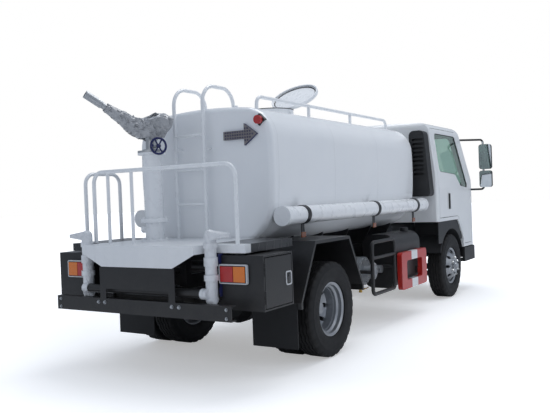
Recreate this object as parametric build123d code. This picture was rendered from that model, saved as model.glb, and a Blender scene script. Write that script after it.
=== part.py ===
from build123d import *
import os
from math import cos, radians, sin

# A light water-sprinkler tanker truck. X points forward, Y to the left, Z up, the ground is Z = 0.

# Overall stations
TANK_LENGTH = 3024
TANK_BEHIND_AXLE = 463
CAB_TO_TANK = 279
CAB_BEHIND_AXLE = 520
WHEELBASE = TANK_LENGTH - TANK_BEHIND_AXLE + CAB_TO_TANK + CAB_BEHIND_AXLE
REAR_OVERHANG = 1290
FRONT_OVERHANG = 1050
LENGTH = REAR_OVERHANG + WHEELBASE + FRONT_OVERHANG
REAR_AXLE_X = REAR_OVERHANG - LENGTH / 2
FRONT_AXLE_X = REAR_AXLE_X + WHEELBASE
REAR_END_X = REAR_AXLE_X - REAR_OVERHANG
FRONT_END_X = FRONT_AXLE_X + FRONT_OVERHANG

# Clearances
PIN_GAP = 0.4
SEAT_GAP = 0.3
RUNNING_GAP = 6
SHUT_GAP = 6

# Wheels and tyres
TYRE_RADIUS = 387
TYRE_WIDTH = 200
BEAD_RADIUS = 205
FLANGE_HEIGHT = 14
RIM_WIDTH = 160
RIM_WALL = 8
WELL_DEPTH = 16
DISC_OFFSET = 120
DISC_WALL = 10
HAND_HOLE_RADIUS = 20
HAND_HOLES = 8
HUB_RADIUS = 64
DRUM_RADIUS = 152
FRONT_TRACK_HALF = 752
TWIN_TRACK_HALF = 712
AXLE_Z = TYRE_RADIUS

# Frame, springs and axles
FRAME_TOP_ABOVE_AXLE = 313
FRAME_HEIGHT = 190
FRAME_HALF_WIDTH = 350
FRAME_FLANGE = 60
FRAME_WALL = 7
FRAME_TOP = AXLE_Z + FRAME_TOP_ABOVE_AXLE
FRAME_BOTTOM = FRAME_TOP - FRAME_HEIGHT
FRAME_REAR_X = REAR_END_X + 110
FRAME_FRONT_X = FRONT_END_X - 170
AXLE_TUBE_RADIUS = 58
SPINDLE_RADIUS = 36
SPRING_WIDTH = 70
LEAF_THICKNESS = 11
LEAF_EYE_RADIUS = 20
REAR_SPRING_Y = FRAME_HALF_WIDTH + 60
FRONT_SPRING_Y = FRAME_HALF_WIDTH - FRAME_FLANGE / 2
KINGPIN_Y = 640
KINGPIN_RADIUS = 18
AXLE_EYE_HEIGHT = 90
STEERING_ARM = 170

# Tank
TANK_REAR_X = REAR_AXLE_X - TANK_BEHIND_AXLE
TANK_FRONT_X = TANK_REAR_X + TANK_LENGTH
TANK_HALF_WIDTH = 690
TANK_HEIGHT = 1134
TANK_CROWN = 57
TANK_TOP_CORNER = 270
TANK_BOTTOM_CORNER = 400
TANK_HEAD_ROUND = 45
TANK_BOTTOM_ABOVE_FRAME = 228
TANK_BOTTOM = FRAME_TOP + TANK_BOTTOM_ABOVE_FRAME
TANK_TOP = TANK_BOTTOM + TANK_HEIGHT

# Manhole
MANHOLE_X = REAR_AXLE_X + 620
NECK_RADIUS = 220
NECK_WALL = 18
NECK_HEIGHT = 74
LID_RADIUS = 245
LID_THICKNESS = 14
LID_OPEN_ANGLE = 145
NECK_TOP = TANK_TOP + NECK_HEIGHT

# Rear platform
PLATFORM_TOP_ABOVE_FRAME = 300
PLATFORM_EDGE = 60
PLATFORM_TOP = FRAME_TOP + PLATFORM_TOP_ABOVE_FRAME
PLATFORM_BOTTOM = PLATFORM_TOP - PLATFORM_EDGE
PLATFORM_HALF_WIDTH = 850
TONGUE_LENGTH = 180
TONGUE_HALF_WIDTH = 545

# Cab
CAB_REAR_X = FRONT_AXLE_X - CAB_BEHIND_AXLE
CAB_FRONT_X = FRONT_END_X - 62
CAB_HALF_WIDTH = 865
CAB_ROOF_HALF_WIDTH = 770
CAB_FLOOR = AXLE_Z + 563
CAB_SILL = AXLE_Z + 196
CAB_ROOF = AXLE_Z + 1763
CAB_WALL = 40
ARCH_RADIUS = 458
TILT_X = FRONT_END_X - 150
TILT_Z = FRAME_BOTTOM + 132


def along_x(sketch, start, end):
    """A (y, z) sketch drawn out between two x stations."""
    plane = Plane((start, 0, 0), x_dir=(0, 1, 0), z_dir=(1, 0, 0))
    return extrude(plane * sketch, amount=end - start, dir=(1, 0, 0))


def along_y(sketch, start, end):
    """An (x, z) sketch drawn out between two y stations."""
    plane = Plane((0, start, 0), x_dir=(1, 0, 0), z_dir=(0, -1, 0))
    return extrude(plane * sketch, amount=end - start, dir=(0, 1, 0))


def along_z(sketch, start, end):
    """An (x, y) sketch drawn out between two heights."""
    return extrude(Pos(0, 0, start) * sketch, amount=end - start, dir=(0, 0, 1))


def outline(*points):
    """A straight-sided sketch through the given corners."""
    return Polygon(*points, align=None)


def rounded(radius, *points):
    """A straight-sided sketch with all its corners rounded."""
    sketch = outline(*points)
    return fillet(sketch.vertices(), radius)


def slab(x0, x1, y0, y1, z0, z1):
    """A box between two limits on each axis."""
    return Pos((x0 + x1) / 2, (y0 + y1) / 2, (z0 + z1) / 2) * Box(abs(x1 - x0), abs(y1 - y0), abs(z1 - z0))


def rod(start, end, radius):
    """A straight round bar between two points."""
    span = Vector(*end) - Vector(*start)
    return extrude(Plane(origin=start, z_dir=span) * Circle(radius), amount=span.length)


def bent_tube(points, radius, bend):
    """A round tube along straight runs with bent corners."""
    path = FilletPolyline(*points, radius=bend)
    return sweep(Plane(origin=path @ 0, z_dir=path % 0) * Circle(radius), path=path)


def both_sides(shape):
    """The shape and its twin on the other side of the truck."""
    return [shape, mirror(shape, about=Plane.XZ)]


def hinge(centre, axis, length, radius, pin_radius):
    """A barrel hinge: end knuckles with the pin, the middle knuckle, and the room each needs in the other."""
    third = length / 3
    place = Plane(origin=centre, z_dir=axis)

    def barrel(size, low, high):
        return place * Pos(0, 0, low) * extrude(Circle(size), amount=high - low)

    ends = barrel(radius, -1.5 * third, -0.5 * third) + barrel(radius, 0.5 * third, 1.5 * third)
    pinned = ends + barrel(pin_radius, -1.5 * third, 1.5 * third)
    bore = barrel(pin_radius + PIN_GAP, -length, length)
    middle = barrel(radius, PIN_GAP - 0.5 * third, 0.5 * third - PIN_GAP) - bore
    room_for_middle = barrel(radius + SHUT_GAP / 2, -0.5 * third, 0.5 * third)
    low_room = barrel(radius + SHUT_GAP / 2, -1.5 * third - PIN_GAP, -0.5 * third + PIN_GAP)
    high_room = barrel(radius + SHUT_GAP / 2, 0.5 * third - PIN_GAP, 1.5 * third + PIN_GAP)
    return pinned, middle, room_for_middle, low_room + high_room + bore


def save(name, shapes):
    """Writes one sub-part, made of one or more solids."""
    solids = []
    for shape in shapes:
        solids.extend(shape.solids())
    export_step(Compound(solids), f"parts/{name}.step")


os.makedirs("parts", exist_ok=True)


# Tyres and wheels, each drawn as (radius, axial) sections with the disc towards +Y
def tyre(y):
    half = TYRE_WIDTH / 2
    bead = RIM_WIDTH / 2 - RIM_WALL - SEAT_GAP
    over_flange = BEAD_RADIUS + FLANGE_HEIGHT + SEAT_GAP
    side_height = (TYRE_RADIUS + over_flange) / 2
    shoulder = half - 22
    section = outline(
        (BEAD_RADIUS + SEAT_GAP, -bead),
        (over_flange, -bead),
        (over_flange + 8, -half + 10),
        (side_height, -half),
        (TYRE_RADIUS - 14, -half + 8),
        (TYRE_RADIUS, -shoulder),
        (TYRE_RADIUS, shoulder),
        (TYRE_RADIUS - 14, half - 8),
        (side_height, half),
        (over_flange + 8, half - 10),
        (over_flange, bead),
        (BEAD_RADIUS + SEAT_GAP, bead),
    )
    return Pos(0, y, 0) * revolve(section, Axis.Y)


def steel_wheel():
    half = RIM_WIDTH / 2
    flange = BEAD_RADIUS + FLANGE_HEIGHT
    inner = BEAD_RADIUS - RIM_WALL
    well = BEAD_RADIUS - WELL_DEPTH
    step = half * 0.45
    rim = outline(
        (flange, -half),
        (flange, -half + RIM_WALL),
        (BEAD_RADIUS, -half + RIM_WALL),
        (BEAD_RADIUS, -step),
        (well, -step + 12),
        (well, step - 12),
        (BEAD_RADIUS, step),
        (BEAD_RADIUS, half - RIM_WALL),
        (flange, half - RIM_WALL),
        (flange, half),
        (flange - 6, half),
        (inner, half - 10),
        (inner, step + 5),
        (well - RIM_WALL, step - 9),
        (well - RIM_WALL, -step + 9),
        (inner, -step - 5),
        (inner, -half + 10),
        (flange - 6, -half),
    )
    barrel = well - RIM_WALL
    face = barrel - 54
    disc = outline(
        (barrel + 3, 8),
        (barrel - 4, 60),
        (face, DISC_OFFSET),
        (HUB_RADIUS - 10, DISC_OFFSET),
        (HUB_RADIUS - 10, DISC_OFFSET - DISC_WALL),
        (face - 5, DISC_OFFSET - DISC_WALL),
        (barrel - 15, 56),
        (barrel - 8, -4),
        (barrel + 3, -4),
    )
    wheel = revolve(rim, Axis.Y) + revolve(disc, Axis.Y)
    hole_circle = barrel - 30
    for index in range(HAND_HOLES):
        turn = index * 360 / HAND_HOLES
        hole = Rot(0, turn, 0) * rod(
            (hole_circle, 40, 0), (hole_circle, DISC_OFFSET + 10, 0), HAND_HOLE_RADIUS
        )
        wheel = wheel - hole
    return wheel


def front_wheel():
    """Disc outwards, with the hub, its cap and the brake drum."""
    section = outline(
        (0, DISC_OFFSET + 46),
        (30, DISC_OFFSET + 46),
        (38, DISC_OFFSET + 36),
        (44, DISC_OFFSET + 20),
        (HUB_RADIUS, DISC_OFFSET + 14),
        (HUB_RADIUS, 20),
        (DRUM_RADIUS, 20),
        (DRUM_RADIUS, -56),
        (SPINDLE_RADIUS + PIN_GAP, -56),
        (SPINDLE_RADIUS + PIN_GAP, DISC_OFFSET + 10),
        (0, DISC_OFFSET + 10),
    )
    return steel_wheel() + revolve(section, Axis.Y)


def twin_wheels():
    """Two wheels back to back on one hub, about the plane where their discs meet."""
    inner = Pos(0, -DISC_OFFSET, 0) * steel_wheel()
    outer = mirror(inner, about=Plane.XZ)
    section = outline(
        (0, 98),
        (48, 98),
        (54, 92),
        (58, 60),
        (78, 52),
        (78, 30),
        (HUB_RADIUS + 8, 24),
        (HUB_RADIUS + 8, -24),
        (DRUM_RADIUS, -24),
        (DRUM_RADIUS, -180),
        (SPINDLE_RADIUS + PIN_GAP, -180),
        (SPINDLE_RADIUS + PIN_GAP, 56),
        (0, 56),
    )
    return inner + outer + revolve(section, Axis.Y)


front_place = Pos(FRONT_AXLE_X, FRONT_TRACK_HALF, AXLE_Z)
rear_place = Pos(REAR_AXLE_X, TWIN_TRACK_HALF, AXLE_Z)
front_rim = front_place * front_wheel()
rear_rims = rear_place * twin_wheels()
front_tyre = front_place * tyre(0)
rear_tyres = [rear_place * tyre(-DISC_OFFSET), rear_place * tyre(DISC_OFFSET)]
save("front_wheel_left", [front_rim])
save("front_wheel_right", [mirror(front_rim, about=Plane.XZ)])
save("front_tyre_left", [front_tyre])
save("front_tyre_right", [mirror(front_tyre, about=Plane.XZ)])
save("rear_wheels_left", [rear_rims])
save("rear_wheels_right", [mirror(rear_rims, about=Plane.XZ)])
save("rear_tyres_left", rear_tyres)
save("rear_tyres_right", [mirror(one, about=Plane.XZ) for one in rear_tyres])


# Frame: two C-section rails joined by cross-members
def rail_section():
    inside = FRAME_HALF_WIDTH - FRAME_FLANGE
    web = FRAME_HALF_WIDTH - FRAME_WALL
    return outline(
        (FRAME_HALF_WIDTH, FRAME_BOTTOM),
        (FRAME_HALF_WIDTH, FRAME_TOP),
        (inside, FRAME_TOP),
        (inside, FRAME_TOP - FRAME_WALL),
        (web, FRAME_TOP - FRAME_WALL),
        (web, FRAME_BOTTOM + FRAME_WALL),
        (inside, FRAME_BOTTOM + FRAME_WALL),
        (inside, FRAME_BOTTOM),
    )


CROSS_MEMBER_LENGTH = 70
CROSS_MEMBER_BOTTOM = FRAME_BOTTOM + 50
CROSS_MEMBER_STATIONS = [
    FRAME_REAR_X + 20,
    REAR_AXLE_X - 520,
    REAR_AXLE_X + 560,
    REAR_AXLE_X + 1500,
    FRONT_AXLE_X - 980,
    FRONT_AXLE_X + 790,
]
left_rail, right_rail = both_sides(along_x(rail_section(), FRAME_REAR_X, FRAME_FRONT_X))
frame = left_rail + right_rail
rail_web = FRAME_HALF_WIDTH - FRAME_WALL
for station in CROSS_MEMBER_STATIONS:
    end = station + CROSS_MEMBER_LENGTH
    outer = slab(station, end, -rail_web, rail_web, CROSS_MEMBER_BOTTOM, FRAME_TOP)
    hollow = slab(
        station + FRAME_WALL, end - FRAME_WALL, -rail_web, rail_web,
        CROSS_MEMBER_BOTTOM - FRAME_WALL, FRAME_TOP - FRAME_WALL,
    )
    frame = frame + (outer - hollow)

# Cab tilt brackets at the front of the rails
TILT_PIN_RADIUS = 16
TILT_LUG = 34
TILT_LUG_WIDTH = 26
bracket = slab(
    TILT_X - 140, TILT_X, FRAME_HALF_WIDTH, FRAME_HALF_WIDTH + TILT_LUG_WIDTH,
    TILT_Z - TILT_LUG, TILT_Z + TILT_LUG,
)
bracket = bracket + rod(
    (TILT_X, FRAME_HALF_WIDTH, TILT_Z), (TILT_X, FRAME_HALF_WIDTH + TILT_LUG_WIDTH, TILT_Z), TILT_LUG
)
bracket = bracket + rod(
    (TILT_X, FRAME_HALF_WIDTH, TILT_Z), (TILT_X, FRAME_HALF_WIDTH + 2 * TILT_LUG_WIDTH, TILT_Z),
    TILT_PIN_RADIUS
)
for one in both_sides(bracket):
    frame = frame + one
save("chassis_frame", [frame])


# Leaf springs with the hangers that carry them
def leaf_spring(x, y, seat_z, half_length, rise, leaves, hanger_top):
    pack_top = seat_z + leaves * LEAF_THICKNESS
    strips = None
    for index in range(leaves):
        reach = half_length * (1 - 0.8 * index / leaves)
        lift = rise * (reach / half_length) ** 2
        top = pack_top - index * LEAF_THICKNESS
        low = top - LEAF_THICKNESS
        edges = [
            ThreePointArc((x - reach, top + lift), (x, top), (x + reach, top + lift)),
            Line((x + reach, top + lift), (x + reach, low + lift)),
            ThreePointArc((x + reach, low + lift), (x, low), (x - reach, low + lift)),
            Line((x - reach, low + lift), (x - reach, top + lift)),
        ]
        strip = make_face(edges)
        strips = strip if strips is None else strips + strip
    inner = y - SPRING_WIDTH / 2
    outer = y + SPRING_WIDTH / 2
    spring = along_y(strips, inner, outer)
    spring = spring + slab(x - 55, x + 55, inner - 12, outer + 12, pack_top - 2, pack_top + 16)
    eye_z = pack_top + rise - LEAF_THICKNESS / 2
    for eye_x in (x - half_length, x + half_length):
        cheek = rounded(
            18, (eye_x - 45, hanger_top), (eye_x - 26, eye_z - 30), (eye_x + 26, eye_z - 30),
            (eye_x + 45, hanger_top)
        )
        spring = spring + rod((eye_x, inner, eye_z), (eye_x, outer, eye_z), LEAF_EYE_RADIUS)
        spring = spring + along_y(cheek, inner - 8, inner)
        spring = spring + along_y(cheek, outer, outer + 8)
        spring = spring + slab(eye_x - 40, eye_x + 40, inner - 8, outer + 8, hanger_top - 14, hanger_top)
    return spring


REAR_SPRING_HALF = 600
FRONT_SPRING_HALF = 540
REAR_LEAVES = 6
FRONT_LEAVES = 4
SPRING_PAD = 20
BEAM_DROP = 47
BEAM_HALF_HEIGHT = 40
rear_seat_z = AXLE_Z + AXLE_TUBE_RADIUS + SPRING_PAD
beam_top = AXLE_Z - BEAM_DROP + BEAM_HALF_HEIGHT
front_seat_z = beam_top + SPRING_PAD
rear_hanger_top = FRAME_BOTTOM + 110
rear_spring = leaf_spring(
    REAR_AXLE_X, REAR_SPRING_Y, rear_seat_z, REAR_SPRING_HALF, 52, REAR_LEAVES, rear_hanger_top
)
for eye_x in (REAR_AXLE_X - REAR_SPRING_HALF, REAR_AXLE_X + REAR_SPRING_HALF):
    rear_spring = rear_spring + slab(
        eye_x - 40, eye_x + 40, FRAME_HALF_WIDTH, REAR_SPRING_Y, rear_hanger_top - 40, rear_hanger_top
    )
front_rise = FRAME_BOTTOM - 14 - LEAF_EYE_RADIUS - 4 - (front_seat_z + FRONT_LEAVES * LEAF_THICKNESS)
front_spring = leaf_spring(
    FRONT_AXLE_X, FRONT_SPRING_Y, front_seat_z, FRONT_SPRING_HALF, front_rise, FRONT_LEAVES, FRAME_BOTTOM
)
save("leaf_springs", both_sides(rear_spring) + both_sides(front_spring))

# Rear axle: banjo housing, tubes, spindles and spring pads
DRUM_INNER_Y = TWIN_TRACK_HALF - 180
SPINDLE_END_Y = TWIN_TRACK_HALF + 52
tube_end = DRUM_INNER_Y - RUNNING_GAP
BANJO_RADIUS = 165
PINION_REACH = 230
PINION_RADIUS = 70
rear_axle = rod((REAR_AXLE_X, -tube_end, AXLE_Z), (REAR_AXLE_X, tube_end, AXLE_Z), AXLE_TUBE_RADIUS)
rear_axle = rear_axle + rod(
    (REAR_AXLE_X, -SPINDLE_END_Y, AXLE_Z), (REAR_AXLE_X, SPINDLE_END_Y, AXLE_Z), SPINDLE_RADIUS
)
banjo = revolve(
    outline((0, -110), (110, -110), (BANJO_RADIUS, -50), (BANJO_RADIUS, 50), (110, 110), (0, 110)), Axis.Y
)
rear_axle = rear_axle + Pos(REAR_AXLE_X, 0, AXLE_Z) * Rot(0, 0, 90) * banjo
rear_axle = rear_axle + rod((REAR_AXLE_X, 0, AXLE_Z), (REAR_AXLE_X + PINION_REACH, 0, AXLE_Z), PINION_RADIUS)
for y in (-REAR_SPRING_Y, REAR_SPRING_Y):
    rear_axle = rear_axle + slab(
        REAR_AXLE_X - 55, REAR_AXLE_X + 55, y - SPRING_WIDTH / 2, y + SPRING_WIDTH / 2, AXLE_Z, rear_seat_z
    )
save("rear_axle", [rear_axle])

# Front axle: dropped I-beam with an eye at each kingpin
eye_half = AXLE_EYE_HEIGHT / 2
drop_y = 430
rise_y = 570
beam = along_x(
    outline(
        (-rise_y, AXLE_Z - 36), (-drop_y, beam_top - 2 * BEAM_HALF_HEIGHT),
        (drop_y, beam_top - 2 * BEAM_HALF_HEIGHT),
        (rise_y, AXLE_Z - 36), (KINGPIN_Y, AXLE_Z - 36), (KINGPIN_Y, AXLE_Z + 36), (rise_y, AXLE_Z + 36),
        (drop_y, beam_top), (-drop_y, beam_top), (-rise_y, AXLE_Z + 36), (-KINGPIN_Y, AXLE_Z + 36),
        (-KINGPIN_Y, AXLE_Z - 36),
    ),
    FRONT_AXLE_X - 30, FRONT_AXLE_X + 30,
)
for side in (-1, 1):
    recess = slab(
        FRONT_AXLE_X + side * 10, FRONT_AXLE_X + side * 40, 20 - drop_y, drop_y - 20,
        beam_top - 2 * BEAM_HALF_HEIGHT + 16, beam_top - 16,
    )
    beam = beam - recess
    y = side * KINGPIN_Y
    beam = beam + rod((FRONT_AXLE_X, y, AXLE_Z - eye_half), (FRONT_AXLE_X, y, AXLE_Z + eye_half), 32)
for side in (-1, 1):
    y = side * KINGPIN_Y
    beam = beam - rod(
        (FRONT_AXLE_X, y, AXLE_Z - 2 * eye_half), (FRONT_AXLE_X, y, AXLE_Z + 2 * eye_half),
        KINGPIN_RADIUS + PIN_GAP
    )
    spring_y = side * FRONT_SPRING_Y
    beam = beam + slab(
        FRONT_AXLE_X - 45, FRONT_AXLE_X + 45, spring_y - SPRING_WIDTH / 2, spring_y + SPRING_WIDTH / 2,
        beam_top - 6, front_seat_z,
    )
save("front_axle", [beam])

# Steering knuckles with kingpin, spindle and arm
LUG_HEIGHT = 26
ARM_THICKNESS = 20
ARM_INSET = 50
SPINDLE_FLANGE_Y = FRONT_TRACK_HALF - 56 - RUNNING_GAP
lug_low = AXLE_Z - eye_half - PIN_GAP - LUG_HEIGHT
lug_high = AXLE_Z + eye_half + PIN_GAP + LUG_HEIGHT
knuckle = rod((FRONT_AXLE_X, KINGPIN_Y, lug_low), (FRONT_AXLE_X, KINGPIN_Y, lug_high), KINGPIN_RADIUS)
for low in (lug_low, lug_high - LUG_HEIGHT):
    knuckle = knuckle + rod(
        (FRONT_AXLE_X, KINGPIN_Y, low), (FRONT_AXLE_X, KINGPIN_Y, low + LUG_HEIGHT), 32
    )
    knuckle = knuckle + slab(
        FRONT_AXLE_X - 28, FRONT_AXLE_X + 28, KINGPIN_Y, SPINDLE_FLANGE_Y, low, low + LUG_HEIGHT
    )
knuckle = knuckle + slab(
    FRONT_AXLE_X - 34, FRONT_AXLE_X + 34, SPINDLE_FLANGE_Y - 13, SPINDLE_FLANGE_Y, lug_low, lug_high
)
knuckle = knuckle + rod(
    (FRONT_AXLE_X, SPINDLE_FLANGE_Y - 5, AXLE_Z), (FRONT_AXLE_X, FRONT_TRACK_HALF + DISC_OFFSET + 5, AXLE_Z),
    SPINDLE_RADIUS,
)
arm_x = FRONT_AXLE_X - STEERING_ARM
arm_y = KINGPIN_Y - ARM_INSET
arm = outline(
    (FRONT_AXLE_X - 10, KINGPIN_Y + 24), (arm_x, arm_y + 18), (arm_x, arm_y - 18),
    (FRONT_AXLE_X - 10, KINGPIN_Y - 24)
)
knuckle = knuckle + along_z(arm, lug_low, lug_low + ARM_THICKNESS)
knuckle = knuckle + rod((arm_x, arm_y, lug_low), (arm_x, arm_y, lug_low + ARM_THICKNESS), 20)
knuckle_left, knuckle_right = both_sides(knuckle)
save("knuckle_left", [knuckle_left])
save("knuckle_right", [knuckle_right])

# Tie rod, standing just under the two arms
TIE_ROD_RADIUS = 14
TIE_ROD_DROP = 10
tie_z = lug_low - TIE_ROD_DROP - TIE_ROD_RADIUS
tie_rod = rod((arm_x, -arm_y, tie_z), (arm_x, arm_y, tie_z), TIE_ROD_RADIUS)
for y in (-arm_y, arm_y):
    tie_rod = tie_rod + rod((arm_x, y, tie_z - 16), (arm_x, y, tie_z + 10), 19)
    tie_rod = tie_rod + rod((arm_x, y, tie_z), (arm_x, y, lug_low - PIN_GAP), 11)
save("tie_rod", [tie_rod])

# Engine and gearbox as one plain mass on its feet, and the drive shaft to the rear axle
ENGINE_REAR_X = FRONT_AXLE_X - 420
ENGINE_FRONT_X = FRONT_AXLE_X + 480
ENGINE_HALF_WIDTH = 270
ENGINE_BOTTOM = FRAME_BOTTOM - 20
ENGINE_TOP = CAB_FLOOR - 30
GEARBOX_REAR_X = ENGINE_REAR_X - 400
SHAFT_Z = FRAME_BOTTOM - 30
engine = along_x(
    rounded(
        50, (-ENGINE_HALF_WIDTH, FRAME_BOTTOM + 60), (-150, ENGINE_BOTTOM), (150, ENGINE_BOTTOM),
        (ENGINE_HALF_WIDTH, FRAME_BOTTOM + 60), (ENGINE_HALF_WIDTH - 40, ENGINE_TOP),
        (40 - ENGINE_HALF_WIDTH, ENGINE_TOP),
    ),
    ENGINE_REAR_X, ENGINE_FRONT_X,
)
engine = engine + rod((GEARBOX_REAR_X, 0, SHAFT_Z), (ENGINE_REAR_X + 20, 0, SHAFT_Z), 130)
for x in (ENGINE_REAR_X + 120, ENGINE_FRONT_X - 200):
    engine = engine + slab(x, x + 70, -rail_web, rail_web, FRAME_BOTTOM + 50, FRAME_BOTTOM + 90)
pinion_x = REAR_AXLE_X + PINION_REACH
drive_shaft = rod((pinion_x + 40, 0, AXLE_Z), (GEARBOX_REAR_X - 40, 0, SHAFT_Z), 38)
drive_shaft = drive_shaft + rod((pinion_x, 0, AXLE_Z), (pinion_x + 60, 0, AXLE_Z), 55)
drive_shaft = drive_shaft + rod((GEARBOX_REAR_X - 60, 0, SHAFT_Z), (GEARBOX_REAR_X, 0, SHAFT_Z), 55)
drive_line = engine + drive_shaft


# Tank: a barrel of arcs with rounded heads and a blind well under the manhole
def tank_section():
    top = TANK_TOP - TANK_CROWN
    low = TANK_BOTTOM + TANK_CROWN * 0.56
    high_y = TANK_HALF_WIDTH - 22
    low_y = TANK_HALF_WIDTH - 50
    middle = (TANK_TOP + TANK_BOTTOM) / 2
    sketch = make_face(
        [
            ThreePointArc((-high_y, top), (0, TANK_TOP), (high_y, top)),
            ThreePointArc((high_y, top), (TANK_HALF_WIDTH, middle), (low_y, low)),
            ThreePointArc((low_y, low), (0, TANK_BOTTOM), (-low_y, low)),
            ThreePointArc((-low_y, low), (-TANK_HALF_WIDTH, middle), (-high_y, top)),
        ]
    )
    corners = sketch.vertices().sort_by(Axis.Y)
    sketch = fillet(corners[2:], TANK_TOP_CORNER)
    corners = [v for v in sketch.vertices() if v.Y < middle - 300 and abs(v.X) > low_y - 5]
    return fillet(corners, TANK_BOTTOM_CORNER)


section = tank_section()
tank = along_x(section, TANK_REAR_X, TANK_FRONT_X)
head_edges = tank.edges().group_by(Axis.X)
tank = fillet(list(head_edges[0]) + list(head_edges[-1]), TANK_HEAD_ROUND)
plain_tank = tank
WELL_RADIUS = NECK_RADIUS - NECK_WALL
MANHOLE_DEPTH = 320
tank = tank - rod((MANHOLE_X, 0, TANK_TOP - MANHOLE_DEPTH), (MANHOLE_X, 0, NECK_TOP), WELL_RADIUS)
save("tank_shell", [tank])

# Manhole neck with its hinge arms and latch lugs, the gasket on its rim, and the lid
GASKET_HEIGHT = 8
LID_SKIRT = 12
LID_SKIRT_DEPTH = 22
lid_low = NECK_TOP + GASKET_HEIGHT + RUNNING_GAP
hinge_x = MANHOLE_X + LID_RADIUS + 20
hinge_z = lid_low + LID_THICKNESS / 2
HINGE_LENGTH = 150
neck = rod((MANHOLE_X, 0, TANK_TOP - 60), (MANHOLE_X, 0, NECK_TOP), NECK_RADIUS)
neck = neck - rod((MANHOLE_X, 0, TANK_TOP - 60), (MANHOLE_X, 0, NECK_TOP), WELL_RADIUS)
neck = neck - plain_tank
pinned, middle, room_for_middle, room_for_ends = hinge((hinge_x, 0, hinge_z), (0, 1, 0), HINGE_LENGTH, 12, 5)
arm_low = NECK_TOP - 50
arm_high = NECK_TOP - LID_SKIRT_DEPTH - 4
for y in (-HINGE_LENGTH / 3, HINGE_LENGTH / 3):
    neck = neck + slab(MANHOLE_X + NECK_RADIUS - 10, hinge_x + 10, y - 18, y + 18, arm_low, arm_high)
    neck = neck + slab(hinge_x - 10, hinge_x + 10, y - 18, y + 18, arm_low, hinge_z)
neck = neck + pinned
for angle in (90, 180, 270):
    lug_x = MANHOLE_X + (NECK_RADIUS + 8) * cos(radians(angle))
    lug_y = (NECK_RADIUS + 8) * sin(radians(angle))
    neck = neck + Pos(lug_x, lug_y, (arm_low + arm_high) / 2) * Rot(0, 0, angle) * Box(
        34, 44, arm_high - arm_low
    )
gasket = rod((MANHOLE_X, 0, NECK_TOP), (MANHOLE_X, 0, NECK_TOP + GASKET_HEIGHT), NECK_RADIUS + 4)
gasket = gasket - rod((MANHOLE_X, 0, NECK_TOP), (MANHOLE_X, 0, NECK_TOP + GASKET_HEIGHT), WELL_RADIUS)
neck = neck + gasket
lid_section = outline(
    (0, lid_low),
    (LID_RADIUS - LID_SKIRT, lid_low),
    (LID_RADIUS - LID_SKIRT, lid_low - LID_SKIRT_DEPTH),
    (LID_RADIUS, lid_low - LID_SKIRT_DEPTH),
    (LID_RADIUS, lid_low + LID_THICKNESS - 4),
    (LID_RADIUS - 8, lid_low + LID_THICKNESS),
    (LID_RADIUS * 0.6, lid_low + LID_THICKNESS + 16),
    (0, lid_low + LID_THICKNESS + 20),
)
lid = Pos(MANHOLE_X, 0, 0) * revolve(Plane.XZ * lid_section, Axis.Z)
lid = lid + slab(MANHOLE_X + LID_RADIUS - 20, hinge_x, -20, 20, hinge_z - 6, hinge_z + 6)
lid = lid - rod((hinge_x, -30, hinge_z), (hinge_x, 30, hinge_z), 8) + middle
lid_axis = Axis((hinge_x, 0, hinge_z), (0, 1, 0))
save("manhole_lid", [lid.rotate(lid_axis, LID_OPEN_ANGLE)])

# Handrail along the right of the tank top, and the breather pipe
RAIL_TUBE = 15
ROOF_RAIL_Y = -400
ROOF_RAIL_TOP = TANK_TOP + 88
roof_post_x = [TANK_REAR_X + share * TANK_LENGTH for share in (0.08, 0.37, 0.66, 0.97)]
roof_rail = bent_tube(
    [
        (roof_post_x[0], ROOF_RAIL_Y, TANK_TOP - 120),
        (roof_post_x[0], ROOF_RAIL_Y, ROOF_RAIL_TOP),
        (roof_post_x[3], ROOF_RAIL_Y, ROOF_RAIL_TOP),
        (roof_post_x[3], ROOF_RAIL_Y, TANK_TOP - 120),
    ],
    RAIL_TUBE, 70,
)
for x in roof_post_x[1:3]:
    roof_rail = roof_rail + rod((x, ROOF_RAIL_Y, TANK_TOP - 120), (x, ROOF_RAIL_Y, ROOF_RAIL_TOP), RAIL_TUBE)
roof_rail = roof_rail - plain_tank
BREATHER_X = MANHOLE_X - 360
BREATHER_Y = 150
breather = rod((BREATHER_X, BREATHER_Y, TANK_TOP - 60), (BREATHER_X, BREATHER_Y, TANK_TOP + 90), 12)
breather = breather + rod(
    (BREATHER_X, BREATHER_Y, TANK_TOP + 70), (BREATHER_X, BREATHER_Y, TANK_TOP + 110), 22
)
save("tank_top_fittings", [neck, breather - plain_tank])

# Ladder on the rear head, its stiles looping over onto the tank top
LADDER_X = TANK_REAR_X - 87
LADDER_LEFT_Y = 205
LADDER_WIDTH = 300
LADDER_TOP = TANK_TOP + 183
LADDER_REACH = 430
RUNG_SPACING = 280
stile_ys = [LADDER_LEFT_Y, LADDER_LEFT_Y - LADDER_WIDTH]
ladder = None
for y in stile_ys:
    stile = bent_tube(
        [
            (LADDER_X, y, PLATFORM_TOP),
            (LADDER_X, y, LADDER_TOP),
            (LADDER_X + LADDER_REACH, y, LADDER_TOP),
            (LADDER_X + LADDER_REACH, y, TANK_TOP - 90),
        ],
        RAIL_TUBE, 150,
    )
    ladder = stile if ladder is None else ladder + stile
rung_z = PLATFORM_TOP + RUNG_SPACING
while rung_z < TANK_TOP:
    ladder = ladder + rod((LADDER_X, stile_ys[0], rung_z), (LADDER_X, stile_ys[1], rung_z), 11)
    rung_z = rung_z + RUNG_SPACING
for y in stile_ys:
    ladder = ladder + rod((LADDER_X, y, TANK_TOP - 330), (TANK_REAR_X + 60, y, TANK_TOP - 330), 11)
save("ladder", [ladder - plain_tank])

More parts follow.
